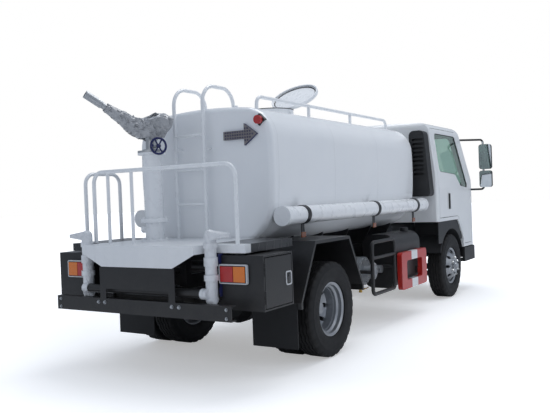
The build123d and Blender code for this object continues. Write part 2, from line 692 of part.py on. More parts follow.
# Sub-frame: sills on the rails, cradle plates under the tank and posts under the platform
SILL_HEIGHT = 80
CRADLE_PLATE = 16
CRADLE_HALF_WIDTH = 450
CRADLES = 6
POST_LENGTH = 60
sill_top = FRAME_TOP + SILL_HEIGHT
sill_in = FRAME_HALF_WIDTH - FRAME_FLANGE
SILL_REAR_X = FRAME_REAR_X + 40
subframe = None
for side in (-1, 1):
    sill = slab(SILL_REAR_X, TANK_FRONT_X - 60, side * sill_in, side * FRAME_HALF_WIDTH, FRAME_TOP, sill_top)
    subframe = sill if subframe is None else subframe + sill
for index in range(CRADLES):
    x = TANK_REAR_X + 120 + index * (TANK_LENGTH - 300) / (CRADLES - 1)
    plate = slab(x, x + CRADLE_PLATE, -CRADLE_HALF_WIDTH, CRADLE_HALF_WIDTH, sill_top, TANK_BOTTOM + 120)
    plate = plate - along_x(
        outline((CRADLE_HALF_WIDTH, sill_top), (FRAME_HALF_WIDTH, sill_top), (CRADLE_HALF_WIDTH, TANK_BOTTOM + 20)),
        x, x + CRADLE_PLATE,
    )
    plate = plate - along_x(
        outline((-CRADLE_HALF_WIDTH, sill_top), (-FRAME_HALF_WIDTH, sill_top), (-CRADLE_HALF_WIDTH, TANK_BOTTOM + 20)),
        x, x + CRADLE_PLATE,
    )
    subframe = subframe + (plate - plain_tank)
for x in (SILL_REAR_X, TANK_REAR_X - 200):
    for side in (-1, 1):
        subframe = subframe + slab(
            x, x + POST_LENGTH, side * sill_in, side * FRAME_HALF_WIDTH, sill_top, PLATFORM_BOTTOM
        )
save("tank_subframe", [subframe])


# Rear platform: deck with a narrower tongue and a tapered skirt under its edge
WING_REAR_X = REAR_END_X + TONGUE_LENGTH
PLATFORM_FRONT_X = TANK_REAR_X - 17
SKIRT_DEPTH = 98
SKIRT_FOOT_HALF = 345
DECK_PLATE = 8
deck = outline(
    (REAR_END_X, -TONGUE_HALF_WIDTH), (WING_REAR_X, -TONGUE_HALF_WIDTH), (WING_REAR_X, -PLATFORM_HALF_WIDTH),
    (PLATFORM_FRONT_X, -PLATFORM_HALF_WIDTH), (PLATFORM_FRONT_X, PLATFORM_HALF_WIDTH),
    (WING_REAR_X, PLATFORM_HALF_WIDTH), (WING_REAR_X, TONGUE_HALF_WIDTH), (REAR_END_X, TONGUE_HALF_WIDTH),
)
deck_inside = offset(deck, -DECK_PLATE, kind=Kind.INTERSECTION)
platform = along_z(deck, PLATFORM_BOTTOM, PLATFORM_TOP)
platform = platform - along_z(deck_inside, PLATFORM_BOTTOM, PLATFORM_TOP - DECK_PLATE)
skirt = outline(
    (-TONGUE_HALF_WIDTH, PLATFORM_BOTTOM), (TONGUE_HALF_WIDTH, PLATFORM_BOTTOM),
    (SKIRT_FOOT_HALF, PLATFORM_BOTTOM - SKIRT_DEPTH), (-SKIRT_FOOT_HALF, PLATFORM_BOTTOM - SKIRT_DEPTH),
)
platform = platform + along_x(skirt, REAR_END_X, REAR_END_X + DECK_PLATE)
for side in (-1, 1):
    rib = slab(
        REAR_END_X, PLATFORM_FRONT_X, side * sill_in, side * FRAME_HALF_WIDTH, PLATFORM_BOTTOM,
        PLATFORM_TOP - DECK_PLATE
    )
    platform = platform + rib
save("platform", [platform])

# Platform rail: a bar with a bent corner on the right, posts, and an open end on the left
GUARD_RAIL_X = WING_REAR_X + 14
GUARD_RAIL_TOP = PLATFORM_TOP + 560
GUARD_RIGHT_Y = -780
GUARD_LEFT_Y = 595
GUARD_POSTS = [440, 190]
GUARD_POST_TUBE = RAIL_TUBE - 2
guard_rail = bent_tube(
    [
        (GUARD_RAIL_X, GUARD_RIGHT_Y, PLATFORM_TOP),
        (GUARD_RAIL_X, GUARD_RIGHT_Y, GUARD_RAIL_TOP),
        (GUARD_RAIL_X, GUARD_LEFT_Y, GUARD_RAIL_TOP),
        (GUARD_RAIL_X, GUARD_LEFT_Y, PLATFORM_TOP),
    ],
    RAIL_TUBE, 90,
)
for y in GUARD_POSTS:
    guard_rail = guard_rail + rod(
        (GUARD_RAIL_X, y, PLATFORM_TOP), (GUARD_RAIL_X, y, GUARD_RAIL_TOP), GUARD_POST_TUBE
    )
SIDE_RAIL_Y = 790
SIDE_RAIL_FRONT_X = PLATFORM_FRONT_X - 140
side_rail = bent_tube(
    [
        (GUARD_RAIL_X + 90, SIDE_RAIL_Y, PLATFORM_TOP),
        (GUARD_RAIL_X + 90, SIDE_RAIL_Y, GUARD_RAIL_TOP),
        (SIDE_RAIL_FRONT_X, SIDE_RAIL_Y, GUARD_RAIL_TOP),
        (SIDE_RAIL_FRONT_X, SIDE_RAIL_Y, PLATFORM_TOP),
    ],
    RAIL_TUBE, 90,
)
save("handrails", [roof_rail, guard_rail, side_rail])

# Water cannon: column, swivel turret and barrel
CANNON_X = TANK_REAR_X - 337
CANNON_Y = 240
COLUMN_RADIUS = 75
COLUMN_FLANGE = 112
COLUMN_TOP = PLATFORM_TOP + 705
FLANGE_THICKNESS = 16
TRUNNION_Z = COLUMN_TOP + 125
BARREL_AZIMUTH = 153
BARREL_ELEVATION = 32
BARREL_LENGTH = 610
BARREL_ROOT_RADIUS = 38
BARREL_TIP_RADIUS = 25
BARREL_FLANGE = 54
column = rod((CANNON_X, CANNON_Y, PLATFORM_TOP), (CANNON_X, CANNON_Y, COLUMN_TOP), COLUMN_RADIUS)
for low in (
    PLATFORM_TOP, PLATFORM_TOP + 150, PLATFORM_TOP + 150 + FLANGE_THICKNESS, COLUMN_TOP - FLANGE_THICKNESS
):
    column = column + rod(
        (CANNON_X, CANNON_Y, low), (CANNON_X, CANNON_Y, low + FLANGE_THICKNESS), COLUMN_FLANGE
    )
valve_z = PLATFORM_TOP + 90
column = column + rod((CANNON_X, CANNON_Y, valve_z), (CANNON_X, CANNON_Y + 125, valve_z), 26)
column = column + slab(
    CANNON_X - 14, CANNON_X + 180, CANNON_Y + 125, CANNON_Y + 137, valve_z - 12, valve_z + 12
)
save("cannon_column", [column])

# The turret and barrel are drawn pointing along +X at the trunnion, then turned to the stowed direction
turret_low = COLUMN_TOP - TRUNNION_Z + PIN_GAP
CHEEK_INNER = 58
TRUNNION_PIN = 14
turret = extrude(Pos(0, 0, turret_low) * Circle(COLUMN_FLANGE), amount=FLANGE_THICKNESS)
SWIVEL_NECK = 46
turret = turret + extrude(Pos(0, 0, turret_low) * Circle(72), amount=FLANGE_THICKNESS + 10)
turret = turret + extrude(Pos(0, 0, turret_low) * Circle(SWIVEL_NECK), amount=-turret_low)
turret = turret + Sphere(SWIVEL_NECK + 4)
turret = turret + rod((0, -CHEEK_INNER - 16, 0), (0, CHEEK_INNER + 16, 0), TRUNNION_PIN)
WHEEL_STEM_Z = turret_low + 44
turret = turret + rod((0, 30, WHEEL_STEM_Z), (0, 150, WHEEL_STEM_Z), 9)
handwheel = Pos(0, 150, WHEEL_STEM_Z) * Rot(90, 0, 0) * Torus(62, 8)
for angle in (0, 60, 120):
    spoke_x = 62 * cos(radians(angle))
    spoke_z = 62 * sin(radians(angle))
    handwheel = handwheel + rod(
        (-spoke_x, 150, WHEEL_STEM_Z - spoke_z), (spoke_x, 150, WHEEL_STEM_Z + spoke_z), 6
    )
turret = turret + handwheel
barrel_section = outline(
    (0, 86), (BARREL_FLANGE, 86), (BARREL_FLANGE, 104), (BARREL_ROOT_RADIUS, 118),
    (BARREL_TIP_RADIUS, BARREL_LENGTH - 190),
    (BARREL_TIP_RADIUS, BARREL_LENGTH - 150), (31, BARREL_LENGTH - 146), (31, BARREL_LENGTH),
    (20, BARREL_LENGTH), (20, 130), (0, 130),
)
barrel = Rot(0, 90, 0) * revolve(Plane.XZ * barrel_section, Axis.Z)
CHEEK_RADIUS = 38
CHEEK_PLATE = 12
YOKE_X = 78
yoke_end = YOKE_X + 14
cheek = Circle(CHEEK_RADIUS) + outline(
    (0, -CHEEK_RADIUS), (yoke_end, -CHEEK_RADIUS), (yoke_end, CHEEK_RADIUS), (0, CHEEK_RADIUS)
)
for low in (CHEEK_INNER, -CHEEK_INNER - CHEEK_PLATE):
    barrel = barrel + along_y(cheek, low, low + CHEEK_PLATE)
cheek_outer = CHEEK_INNER + CHEEK_PLATE
barrel = barrel + slab(YOKE_X, yoke_end, -cheek_outer, cheek_outer, -CHEEK_RADIUS, CHEEK_RADIUS)
HANDLE_REACH = 150
HANDLE_ANGLE = 110
handle_x = HANDLE_REACH * cos(radians(HANDLE_ANGLE))
handle_z = HANDLE_REACH * sin(radians(HANDLE_ANGLE))
for y in (-CHEEK_INNER - CHEEK_PLATE / 2, CHEEK_INNER + CHEEK_PLATE / 2):
    barrel = barrel + rod((handle_x * 0.2, y, handle_z * 0.2), (handle_x, y, handle_z), CHEEK_PLATE / 2)
barrel = barrel + rod((handle_x, -cheek_outer - 50, handle_z), (handle_x, cheek_outer + 50, handle_z), 13)
barrel = barrel - rod((0, -cheek_outer - 5, 0), (0, cheek_outer + 5, 0), TRUNNION_PIN + PIN_GAP)
wrap_section = outline(
    (BARREL_FLANGE + SEAT_GAP, yoke_end + SEAT_GAP), (62, yoke_end + 8), (82, 190), (60, 330),
    (40, BARREL_LENGTH - 170), (BARREL_TIP_RADIUS + 5, BARREL_LENGTH - 165),
    (BARREL_TIP_RADIUS + SEAT_GAP, BARREL_LENGTH - 190),
    (BARREL_ROOT_RADIUS + SEAT_GAP, 118 + SEAT_GAP), (BARREL_FLANGE + SEAT_GAP, 104 + SEAT_GAP),
)
wrap = Rot(0, 90, 0) * revolve(Plane.XZ * wrap_section, Axis.Z)
stow = Pos(CANNON_X, CANNON_Y, TRUNNION_Z) * Rot(0, 0, BARREL_AZIMUTH)
aim = stow * Rot(0, -BARREL_ELEVATION, 0)
save("cannon_turret", [stow * turret])
save("cannon_barrel", [aim * barrel])
save("cannon_wrap", [aim * wrap])


# Water pipes from the pump along the right rail to the rear sprayers and the cannon
PIPE_RADIUS = 32
PIPE_Y = -FRAME_HALF_WIDTH - 82
PIPE_Z = FRAME_BOTTOM + 155
PIPE_BEND = 60
SPRAYER_Y = 607
SPRAYER_X = REAR_END_X + 110
SPRAYER_RADIUS = 42
CROSS_PIPE_X = FRAME_REAR_X - PIPE_RADIUS - RUNNING_GAP
PUMP_X = REAR_AXLE_X + 1250
stub_end = SPRAYER_Y - 55
main_pipe = bent_tube(
    [(PUMP_X - 120, PIPE_Y, PIPE_Z), (CROSS_PIPE_X, PIPE_Y, PIPE_Z), (CROSS_PIPE_X, stub_end, PIPE_Z)],
    PIPE_RADIUS, PIPE_BEND,
)
main_pipe = main_pipe + rod(
    (CROSS_PIPE_X, -stub_end, PIPE_Z), (CROSS_PIPE_X, PIPE_Y + 60, PIPE_Z), PIPE_RADIUS
)
riser_z = sill_top + PIPE_RADIUS + 8
riser = bent_tube(
    [
        (CANNON_X, CANNON_Y, PLATFORM_TOP - DECK_PLATE), (CANNON_X, CANNON_Y, riser_z),
        (CANNON_X, PIPE_Y, riser_z), (CANNON_X, PIPE_Y, PIPE_Z),
    ],
    PIPE_RADIUS, PIPE_BEND,
)

# Rear sprayers: an upright with unions, a bulb at its foot and a flattened nozzle turned outwards
SPRAYER_LOW = PIPE_Z - 40
SPRAYER_HIGH = PLATFORM_TOP + 66
sprayer = rod((SPRAYER_X, SPRAYER_Y, SPRAYER_LOW), (SPRAYER_X, SPRAYER_Y, SPRAYER_HIGH), SPRAYER_RADIUS)
sprayer = sprayer + Pos(SPRAYER_X, SPRAYER_Y, SPRAYER_LOW) * Sphere(SPRAYER_RADIUS + 4)
for low, high, radius in (
    (PIPE_Z + 90, PIPE_Z + 130, 52), (PIPE_Z + 190, PIPE_Z + 250, 50),
    (PLATFORM_TOP - 20, PLATFORM_TOP + 16, 50),
):
    sprayer = sprayer + rod((SPRAYER_X, SPRAYER_Y, low), (SPRAYER_X, SPRAYER_Y, high), radius)
sprayer = sprayer + Pos(SPRAYER_X, SPRAYER_Y, SPRAYER_HIGH) * Sphere(SPRAYER_RADIUS)
nozzle = loft(
    [
        Plane((SPRAYER_X, SPRAYER_Y, SPRAYER_HIGH), x_dir=(1, 0, 0), z_dir=(0, 1, 0)) * Rectangle(70, 70),
        Plane((SPRAYER_X, SPRAYER_Y + 130, SPRAYER_HIGH), x_dir=(1, 0, 0), z_dir=(0, 1, 0)) * Rectangle(120, 26),
    ]
)
sprayer = sprayer + nozzle
sprayer = sprayer + rod((CROSS_PIPE_X, stub_end, PIPE_Z), (CROSS_PIPE_X, SPRAYER_Y, PIPE_Z), PIPE_RADIUS + 6)
save("rear_sprayers", both_sides(sprayer))

# Tool boxes, open at the side behind a hinged door
BOX_REAR_X = REAR_AXLE_X - 1120
BOX_FRONT_X = REAR_AXLE_X - 741
BOX_INNER_Y = 640
BOX_OUTER_Y = 1000
BOX_BOTTOM = AXLE_Z + 161
BOX_TOP = PLATFORM_BOTTOM - 15
BOX_WALL = 12
BOX_DOOR = 16
BOX_HINGE_LENGTH = 90
box = slab(BOX_REAR_X, BOX_FRONT_X, BOX_INNER_Y, BOX_OUTER_Y, BOX_BOTTOM, BOX_TOP)
box = box - slab(
    BOX_REAR_X + BOX_WALL, BOX_FRONT_X - BOX_WALL, BOX_INNER_Y + BOX_WALL, BOX_OUTER_Y,
    BOX_BOTTOM + BOX_WALL, BOX_TOP - BOX_WALL,
)
for x in (BOX_REAR_X + 60, BOX_FRONT_X - 120):
    box = box + slab(x, x + 50, FRAME_HALF_WIDTH, BOX_INNER_Y, BOX_BOTTOM, BOX_BOTTOM + 50)
box_door = slab(
    BOX_REAR_X + BOX_WALL + SHUT_GAP, BOX_FRONT_X - BOX_WALL - SHUT_GAP, BOX_OUTER_Y - BOX_DOOR, BOX_OUTER_Y,
    BOX_BOTTOM + BOX_WALL + SHUT_GAP, BOX_TOP - BOX_WALL - SHUT_GAP,
)
box_hinge_x = BOX_REAR_X + BOX_WALL + SHUT_GAP / 2
for share in (0.25, 0.75):
    z = BOX_BOTTOM + share * (BOX_TOP - BOX_BOTTOM)
    pinned, middle, room_for_middle, room_for_ends = hinge(
        (box_hinge_x, BOX_OUTER_Y, z), (0, 0, 1), BOX_HINGE_LENGTH, 8, 3.5
    )
    box = box - room_for_middle + pinned
    box_door = box_door - room_for_ends + middle
box_left, box_right = both_sides(box)
door_left, door_right = both_sides(box_door)
save("tool_boxes", [box_left, box_right])
save("tool_box_door_left", [door_left])
save("tool_box_door_right", [door_right])

# Underrun bar on brackets, with the plate panel above it
BAR_LOW = FRAME_BOTTOM - 12
BAR_HIGH = BAR_LOW + 106
BAR_HALF_WIDTH = 845
BAR_DEPTH = 56
BAR_WALL = 8
bar = slab(REAR_END_X, REAR_END_X + BAR_DEPTH, -BAR_HALF_WIDTH, BAR_HALF_WIDTH, BAR_LOW, BAR_HIGH)
bar = bar - slab(
    REAR_END_X + BAR_WALL, REAR_END_X + BAR_DEPTH, -BAR_HALF_WIDTH, BAR_HALF_WIDTH, BAR_LOW + BAR_WALL,
    BAR_HIGH - BAR_WALL
)
PANEL_HALF_WIDTH = 366
panel_top = PLATFORM_BOTTOM - SKIRT_DEPTH
for side in (-1, 1):
    bar = bar + slab(
        REAR_END_X + BAR_WALL, FRAME_REAR_X, side * (rail_web - 40), side * rail_web, BAR_LOW + 14,
        BAR_HIGH - 14
    )
    bar = bar + slab(
        REAR_END_X, REAR_END_X + BAR_WALL, side * (PANEL_HALF_WIDTH - 60), side * PANEL_HALF_WIDTH,
        BAR_HIGH - 4, panel_top
    )
bar = bar + slab(
    REAR_END_X, REAR_END_X + BAR_WALL, -PANEL_HALF_WIDTH, PANEL_HALF_WIDTH, panel_top - 165, panel_top
)
save("underrun_bar", [bar])

# Rear fenders: flat-topped angular guards on brackets, and the flaps hung behind the wheels
FENDER_TOP = AXLE_Z + 578
FENDER_TOP_HALF = 300
FENDER_FOOT_HALF = 550
FENDER_KNEE = AXLE_Z + 133
FENDER_FOOT = AXLE_Z + 83
FENDER_PLATE = 6
FENDER_LIP = 26
FENDER_INNER_Y = TANK_HALF_WIDTH - 220
FENDER_OUTER_Y = 950


def fender_profile(inset):
    x = REAR_AXLE_X
    return outline(
        (x - FENDER_FOOT_HALF + inset, FENDER_FOOT), (x - FENDER_FOOT_HALF + inset, FENDER_KNEE),
        (x - FENDER_TOP_HALF + inset / 2, FENDER_TOP - inset),
        (x + FENDER_TOP_HALF - inset / 2, FENDER_TOP - inset),
        (x + FENDER_FOOT_HALF - inset, FENDER_KNEE), (x + FENDER_FOOT_HALF - inset, FENDER_FOOT),
    )


fender = along_y(fender_profile(0) - fender_profile(FENDER_PLATE), FENDER_INNER_Y, FENDER_OUTER_Y)
fender = fender + along_y(
    fender_profile(0) - fender_profile(FENDER_LIP), FENDER_OUTER_Y - FENDER_PLATE, FENDER_OUTER_Y
)
for x in (REAR_AXLE_X - 160, REAR_AXLE_X + 150):
    web = outline(
        (FRAME_HALF_WIDTH, FRAME_TOP + 10), (FRAME_HALF_WIDTH, sill_top),
        (FENDER_INNER_Y + 10, FENDER_TOP - 3),
        (FENDER_INNER_Y + 190, FENDER_TOP - 3), (FENDER_INNER_Y + 10, FENDER_TOP - 24),
    )
    fender = fender + along_x(web, x, x + 10)
save("rear_fenders", both_sides(fender))
FLAP_INNER_Y = 510
FLAP_OUTER_Y = 915
FLAP_BOTTOM = 170
FLAP_PLATE = 10
flap_x = REAR_AXLE_X - FENDER_FOOT_HALF
flap = slab(flap_x - FLAP_PLATE, flap_x, FLAP_INNER_Y, FLAP_OUTER_Y, FLAP_BOTTOM, FENDER_KNEE - 8)
save("mud_flaps", both_sides(flap))


# Hose tubes along both sides, with end caps, held by straps that carry the reflectors
TUBE_RADIUS = 72
TUBE_Y = TANK_HALF_WIDTH + 45
TUBE_Z = TANK_BOTTOM + 237
TUBE_REAR_X = TANK_REAR_X + 33
INTAKE_DEPTH = 140
TUBE_FRONT_X = CAB_REAR_X - INTAKE_DEPTH - 24
CAP_LENGTH = 40
tube = rod((TUBE_REAR_X, TUBE_Y, TUBE_Z), (TUBE_FRONT_X, TUBE_Y, TUBE_Z), TUBE_RADIUS)
for x in (TUBE_REAR_X, TUBE_FRONT_X - CAP_LENGTH):
    tube = tube + rod((x, TUBE_Y, TUBE_Z), (x + CAP_LENGTH, TUBE_Y, TUBE_Z), TUBE_RADIUS + 6)
save("hose_tubes", both_sides(tube))
STRAP_WIDTH = 50
STRAP_PLATE = 6
STRAP_DROP = 185
REFLECTOR_HEIGHT = 44
strap_x = [TUBE_REAR_X + 290, TUBE_REAR_X + 1700, TUBE_FRONT_X - 330]
straps = []
reflectors = []
for x in strap_x:
    band = Circle(TUBE_RADIUS + STRAP_PLATE) - Circle(TUBE_RADIUS + SEAT_GAP)
    strap = along_x(Pos(TUBE_Y, TUBE_Z) * band, x, x + STRAP_WIDTH)
    hanger = slab(
        x, x + STRAP_WIDTH, TUBE_Y - STRAP_PLATE / 2, TUBE_Y + STRAP_PLATE / 2,
        TUBE_Z - STRAP_DROP, TUBE_Z - TUBE_RADIUS - STRAP_PLATE / 2,
    )
    foot = slab(
        x, x + STRAP_WIDTH, TANK_HALF_WIDTH - 130, TUBE_Y - TUBE_RADIUS - STRAP_PLATE / 2, TUBE_Z - 16,
        TUBE_Z + 16
    )
    straps.extend(both_sides(strap + hanger + (foot - plain_tank)))
    reflectors.extend(
        both_sides(
            slab(
                x - 8, x + STRAP_WIDTH + 8, TUBE_Y + STRAP_PLATE / 2, TUBE_Y + STRAP_PLATE / 2 + 8,
                TUBE_Z - STRAP_DROP, TUBE_Z - STRAP_DROP + REFLECTOR_HEIGHT,
            )
        )
    )
save("tube_straps", straps)

# Fuel tank on the right, battery box on the left, each on rail brackets, and the guard rings outside them
STORE_REAR_X = REAR_AXLE_X + 1580
STORE_FRONT_X = STORE_REAR_X + 720
STORE_INNER_Y = 470
STORE_OUTER_Y = 826
FUEL_BOTTOM = AXLE_Z - 50
FUEL_TOP = AXLE_Z + 500
BATTERY_BOTTOM = AXLE_Z - 30
BATTERY_TOP = AXLE_Z + 330
GUARD_GAP = 24
GUARD_THICKNESS = 50
GUARD_LOW = AXLE_Z - 67
GUARD_HIGH = AXLE_Z + 313
stores = {}
for name, low, high, corner in (
    ("fuel_tank", FUEL_BOTTOM, FUEL_TOP, 110),
    ("battery_box", BATTERY_BOTTOM, BATTERY_TOP, 30),
):
    shape = rounded(
        corner, (STORE_INNER_Y, low), (STORE_OUTER_Y, low), (STORE_OUTER_Y, high), (STORE_INNER_Y, high)
    )
    store = along_x(shape, STORE_REAR_X, STORE_FRONT_X)
    for x in (STORE_REAR_X + 80, STORE_FRONT_X - 150):
        store = store + slab(x, x + 70, FRAME_HALF_WIDTH, STORE_INNER_Y, FRAME_BOTTOM + 20, FRAME_BOTTOM + 90)
        store = store + slab(
            x, x + 70, STORE_OUTER_Y - 60, STORE_OUTER_Y + GUARD_GAP, AXLE_Z + 50, AXLE_Z + 110
        )
    stores[name] = store
FILLER_X = STORE_FRONT_X - 120
stores["fuel_tank"] = stores["fuel_tank"] + rod(
    (FILLER_X, STORE_OUTER_Y - 130, FUEL_TOP - 20), (FILLER_X, STORE_OUTER_Y - 130, FUEL_TOP + 40), 46
)
save("fuel_tank", [mirror(stores["fuel_tank"], about=Plane.XZ)])
save("battery_box", [stores["battery_box"]])
guard_y = STORE_OUTER_Y + GUARD_GAP
ring = rounded(
    40, (STORE_REAR_X, GUARD_LOW), (STORE_FRONT_X, GUARD_LOW), (STORE_FRONT_X, GUARD_HIGH),
    (STORE_REAR_X, GUARD_HIGH)
)
ring = ring - rounded(
    30, (STORE_REAR_X + 140, GUARD_LOW + 90), (STORE_FRONT_X - 140, GUARD_LOW + 90),
    (STORE_FRONT_X - 140, GUARD_HIGH - 90), (STORE_REAR_X + 140, GUARD_HIGH - 90),
)
guard = along_y(ring, guard_y, guard_y + GUARD_THICKNESS)
for x in (STORE_REAR_X + 80, STORE_FRONT_X - 150):
    guard = guard + slab(x, x + 70, guard_y, guard_y + 12, AXLE_Z + 50, AXLE_Z + 110)
save("side_guards", both_sides(guard))

# Pump on the right rail inside a tubular guard frame
PUMP_FRAME_Y = -840
PUMP_FRAME_REAR_X = REAR_AXLE_X + 990
PUMP_FRAME_FRONT_X = REAR_AXLE_X + 1530
PUMP_FRAME_LOW = AXLE_Z - 30
PUMP_FRAME_HIGH = FRAME_TOP + 150
PUMP_Z = FRAME_BOTTOM + 40
pump_frame = bent_tube(
    [
        (PUMP_FRAME_REAR_X, PUMP_FRAME_Y, FRAME_BOTTOM), (PUMP_FRAME_REAR_X, PUMP_FRAME_Y, PUMP_FRAME_HIGH),
        (PUMP_FRAME_FRONT_X, PUMP_FRAME_Y, PUMP_FRAME_HIGH), (PUMP_FRAME_FRONT_X, PUMP_FRAME_Y, FRAME_BOTTOM),
    ],
    18, 50,
)
for x in (PUMP_FRAME_REAR_X, PUMP_FRAME_FRONT_X):
    pump_frame = pump_frame + rod(
        (x, -FRAME_HALF_WIDTH, FRAME_BOTTOM + 60), (x, PUMP_FRAME_Y, FRAME_BOTTOM + 60), 18
    )
lower_loop = bent_tube(
    [
        (PUMP_FRAME_REAR_X, PUMP_FRAME_Y, FRAME_BOTTOM + 100),
        (PUMP_FRAME_REAR_X, PUMP_FRAME_Y, PUMP_FRAME_LOW),
        (PUMP_FRAME_FRONT_X, PUMP_FRAME_Y, PUMP_FRAME_LOW),
        (PUMP_FRAME_FRONT_X, PUMP_FRAME_Y, FRAME_BOTTOM + 100),
    ],
    18, 50,
)
pump_frame = pump_frame + lower_loop
pump_frame = pump_frame + rod(
    (PUMP_FRAME_REAR_X, PUMP_FRAME_Y, FRAME_TOP), (PUMP_FRAME_FRONT_X, PUMP_FRAME_Y, FRAME_TOP), 16
)
save("pump_frame", [pump_frame])
pump = rod((PUMP_X, -FRAME_HALF_WIDTH, PUMP_Z), (PUMP_X, -FRAME_HALF_WIDTH - 180, PUMP_Z), 90)
pump = pump + rod((PUMP_X, -FRAME_HALF_WIDTH - 180, PUMP_Z), (PUMP_X, -FRAME_HALF_WIDTH - 290, PUMP_Z), 140)
pump = pump + rod((PUMP_X, -FRAME_HALF_WIDTH - 290, PUMP_Z), (PUMP_X, -FRAME_HALF_WIDTH - 370, PUMP_Z), 52)
pump = pump + rod((PUMP_X, -FRAME_HALF_WIDTH - 370, PUMP_Z), (PUMP_X, -FRAME_HALF_WIDTH - 390, PUMP_Z), 84)
pump = pump + rod((PUMP_X, PIPE_Y, PUMP_Z), (PUMP_X, PIPE_Y, PIPE_Z), 48)
pump = pump + rod((PUMP_X - 120, PIPE_Y, PIPE_Z), (PUMP_X, PIPE_Y, PIPE_Z), PIPE_RADIUS + 8)
pump = pump + Pos(PUMP_X, PIPE_Y, PIPE_Z) * Sphere(48)
OUTLET_Y = -FRAME_HALF_WIDTH - 390
OUTLET_RADIUS = 38
outlet_x = PUMP_X + 190
pump = pump + rod(
    (PUMP_X + 60, -FRAME_HALF_WIDTH - 240, PUMP_Z), (outlet_x, -FRAME_HALF_WIDTH - 240, PUMP_Z), 30
)
pump = pump + rod((outlet_x, -FRAME_HALF_WIDTH - 240, PUMP_Z), (outlet_x, OUTLET_Y, PUMP_Z), OUTLET_RADIUS)
pump = pump + Pos(outlet_x, -FRAME_HALF_WIDTH - 240, PUMP_Z) * Sphere(50)
save("water_pump_and_pipes", [pump + main_pipe + riser])

# Exhaust on the left: pipe, silencer and hangers
EXHAUST_Y = FRAME_HALF_WIDTH + 130
EXHAUST_Z = FRAME_BOTTOM - 40
SILENCER_REAR_X = REAR_AXLE_X + 800
SILENCER_FRONT_X = REAR_AXLE_X + 1420
exhaust = rod((SILENCER_REAR_X, EXHAUST_Y, EXHAUST_Z), (SILENCER_FRONT_X, EXHAUST_Y, EXHAUST_Z), 105)
exhaust = exhaust + bent_tube(
    [
        (SILENCER_FRONT_X - 10, EXHAUST_Y - 60, EXHAUST_Z), (STORE_REAR_X - 60, EXHAUST_Y - 60, EXHAUST_Z),
        (STORE_REAR_X - 60, 200, EXHAUST_Z - 60), (GEARBOX_REAR_X + 120, 200, EXHAUST_Z - 60),
    ],
    30, 50,
)
exhaust = exhaust + bent_tube(
    [
        (SILENCER_REAR_X + 10, EXHAUST_Y, EXHAUST_Z), (SILENCER_REAR_X - 90, EXHAUST_Y, EXHAUST_Z),
        (SILENCER_REAR_X - 90, EXHAUST_Y + 360, EXHAUST_Z - 40),
    ],
    30, 60,
)
for x in (SILENCER_REAR_X + 80, SILENCER_FRONT_X - 130):
    exhaust = exhaust + slab(x, x + 40, FRAME_HALF_WIDTH, EXHAUST_Y, FRAME_BOTTOM + 60, FRAME_BOTTOM + 84)
    exhaust = exhaust + slab(x, x + 40, EXHAUST_Y - 20, EXHAUST_Y, EXHAUST_Z + 90, FRAME_BOTTOM + 84)
save("drive_line", [drive_line, exhaust])

# Lamps: tail clusters on the tool boxes, round lamps and an arrow lamp on the rear head
LAMP_INNER_Y = 652
LAMP_OUTER_Y = 874
LAMP_LOW = BOX_TOP - 188
LAMP_HIGH = BOX_TOP - 66
LAMP_DEPTH = 26
LENS_DEPTH = 14
LENS_SPLIT = 0.52
lamp_y = LAMP_INNER_Y + LENS_SPLIT * (LAMP_OUTER_Y - LAMP_INNER_Y)
housing = slab(BOX_REAR_X - LAMP_DEPTH, BOX_REAR_X, LAMP_INNER_Y, LAMP_OUTER_Y, LAMP_LOW, LAMP_HIGH)
red_lens = slab(
    BOX_REAR_X - LAMP_DEPTH - 4, BOX_REAR_X - LAMP_DEPTH + LENS_DEPTH, LAMP_INNER_Y + 8, lamp_y - 3,
    LAMP_LOW + 8, LAMP_HIGH - 8
)
amber_lens = slab(
    BOX_REAR_X - LAMP_DEPTH - 4, BOX_REAR_X - LAMP_DEPTH + LENS_DEPTH, lamp_y + 3, LAMP_OUTER_Y - 8,
    LAMP_LOW + 8, LAMP_HIGH - 8
)
housing = housing - red_lens - amber_lens
ROUND_LAMP_Y = 585
ROUND_LAMP_Z = TANK_TOP - 140
diamond = Pos(ROUND_LAMP_Y, ROUND_LAMP_Z) * Rot(0, 0, 45) * Rectangle(70, 70)
lamp_base = along_x(diamond, TANK_REAR_X - 12, TANK_REAR_X + 50) - plain_tank
round_lens = rod(
    (TANK_REAR_X - 42, ROUND_LAMP_Y, ROUND_LAMP_Z), (TANK_REAR_X - 12, ROUND_LAMP_Y, ROUND_LAMP_Z), 34
)
ARROW_TIP_Y = 124 - TANK_HALF_WIDTH
ARROW_TAIL_Y = ARROW_TIP_Y + 321
ARROW_Z = TANK_TOP - 245
ARROW_HALF = 87
ARROW_SHAFT = 34
ARROW_DEPTH = 24
arrow = outline(
    (ARROW_TIP_Y, ARROW_Z), (ARROW_TIP_Y + 120, ARROW_Z - ARROW_HALF),
    (ARROW_TIP_Y + 120, ARROW_Z - ARROW_SHAFT),
    (ARROW_TAIL_Y, ARROW_Z - ARROW_SHAFT), (ARROW_TAIL_Y, ARROW_Z + ARROW_SHAFT),
    (ARROW_TIP_Y + 120, ARROW_Z + ARROW_SHAFT), (ARROW_TIP_Y + 120, ARROW_Z + ARROW_HALF),
)
save("lamp_housings", both_sides(housing) + both_sides(lamp_base))
save("red_lenses", both_sides(red_lens) + both_sides(round_lens))
save("amber_lenses", both_sides(amber_lens) + reflectors)
save("arrow_lamp", [along_x(arrow, TANK_REAR_X - ARROW_DEPTH, TANK_REAR_X)])


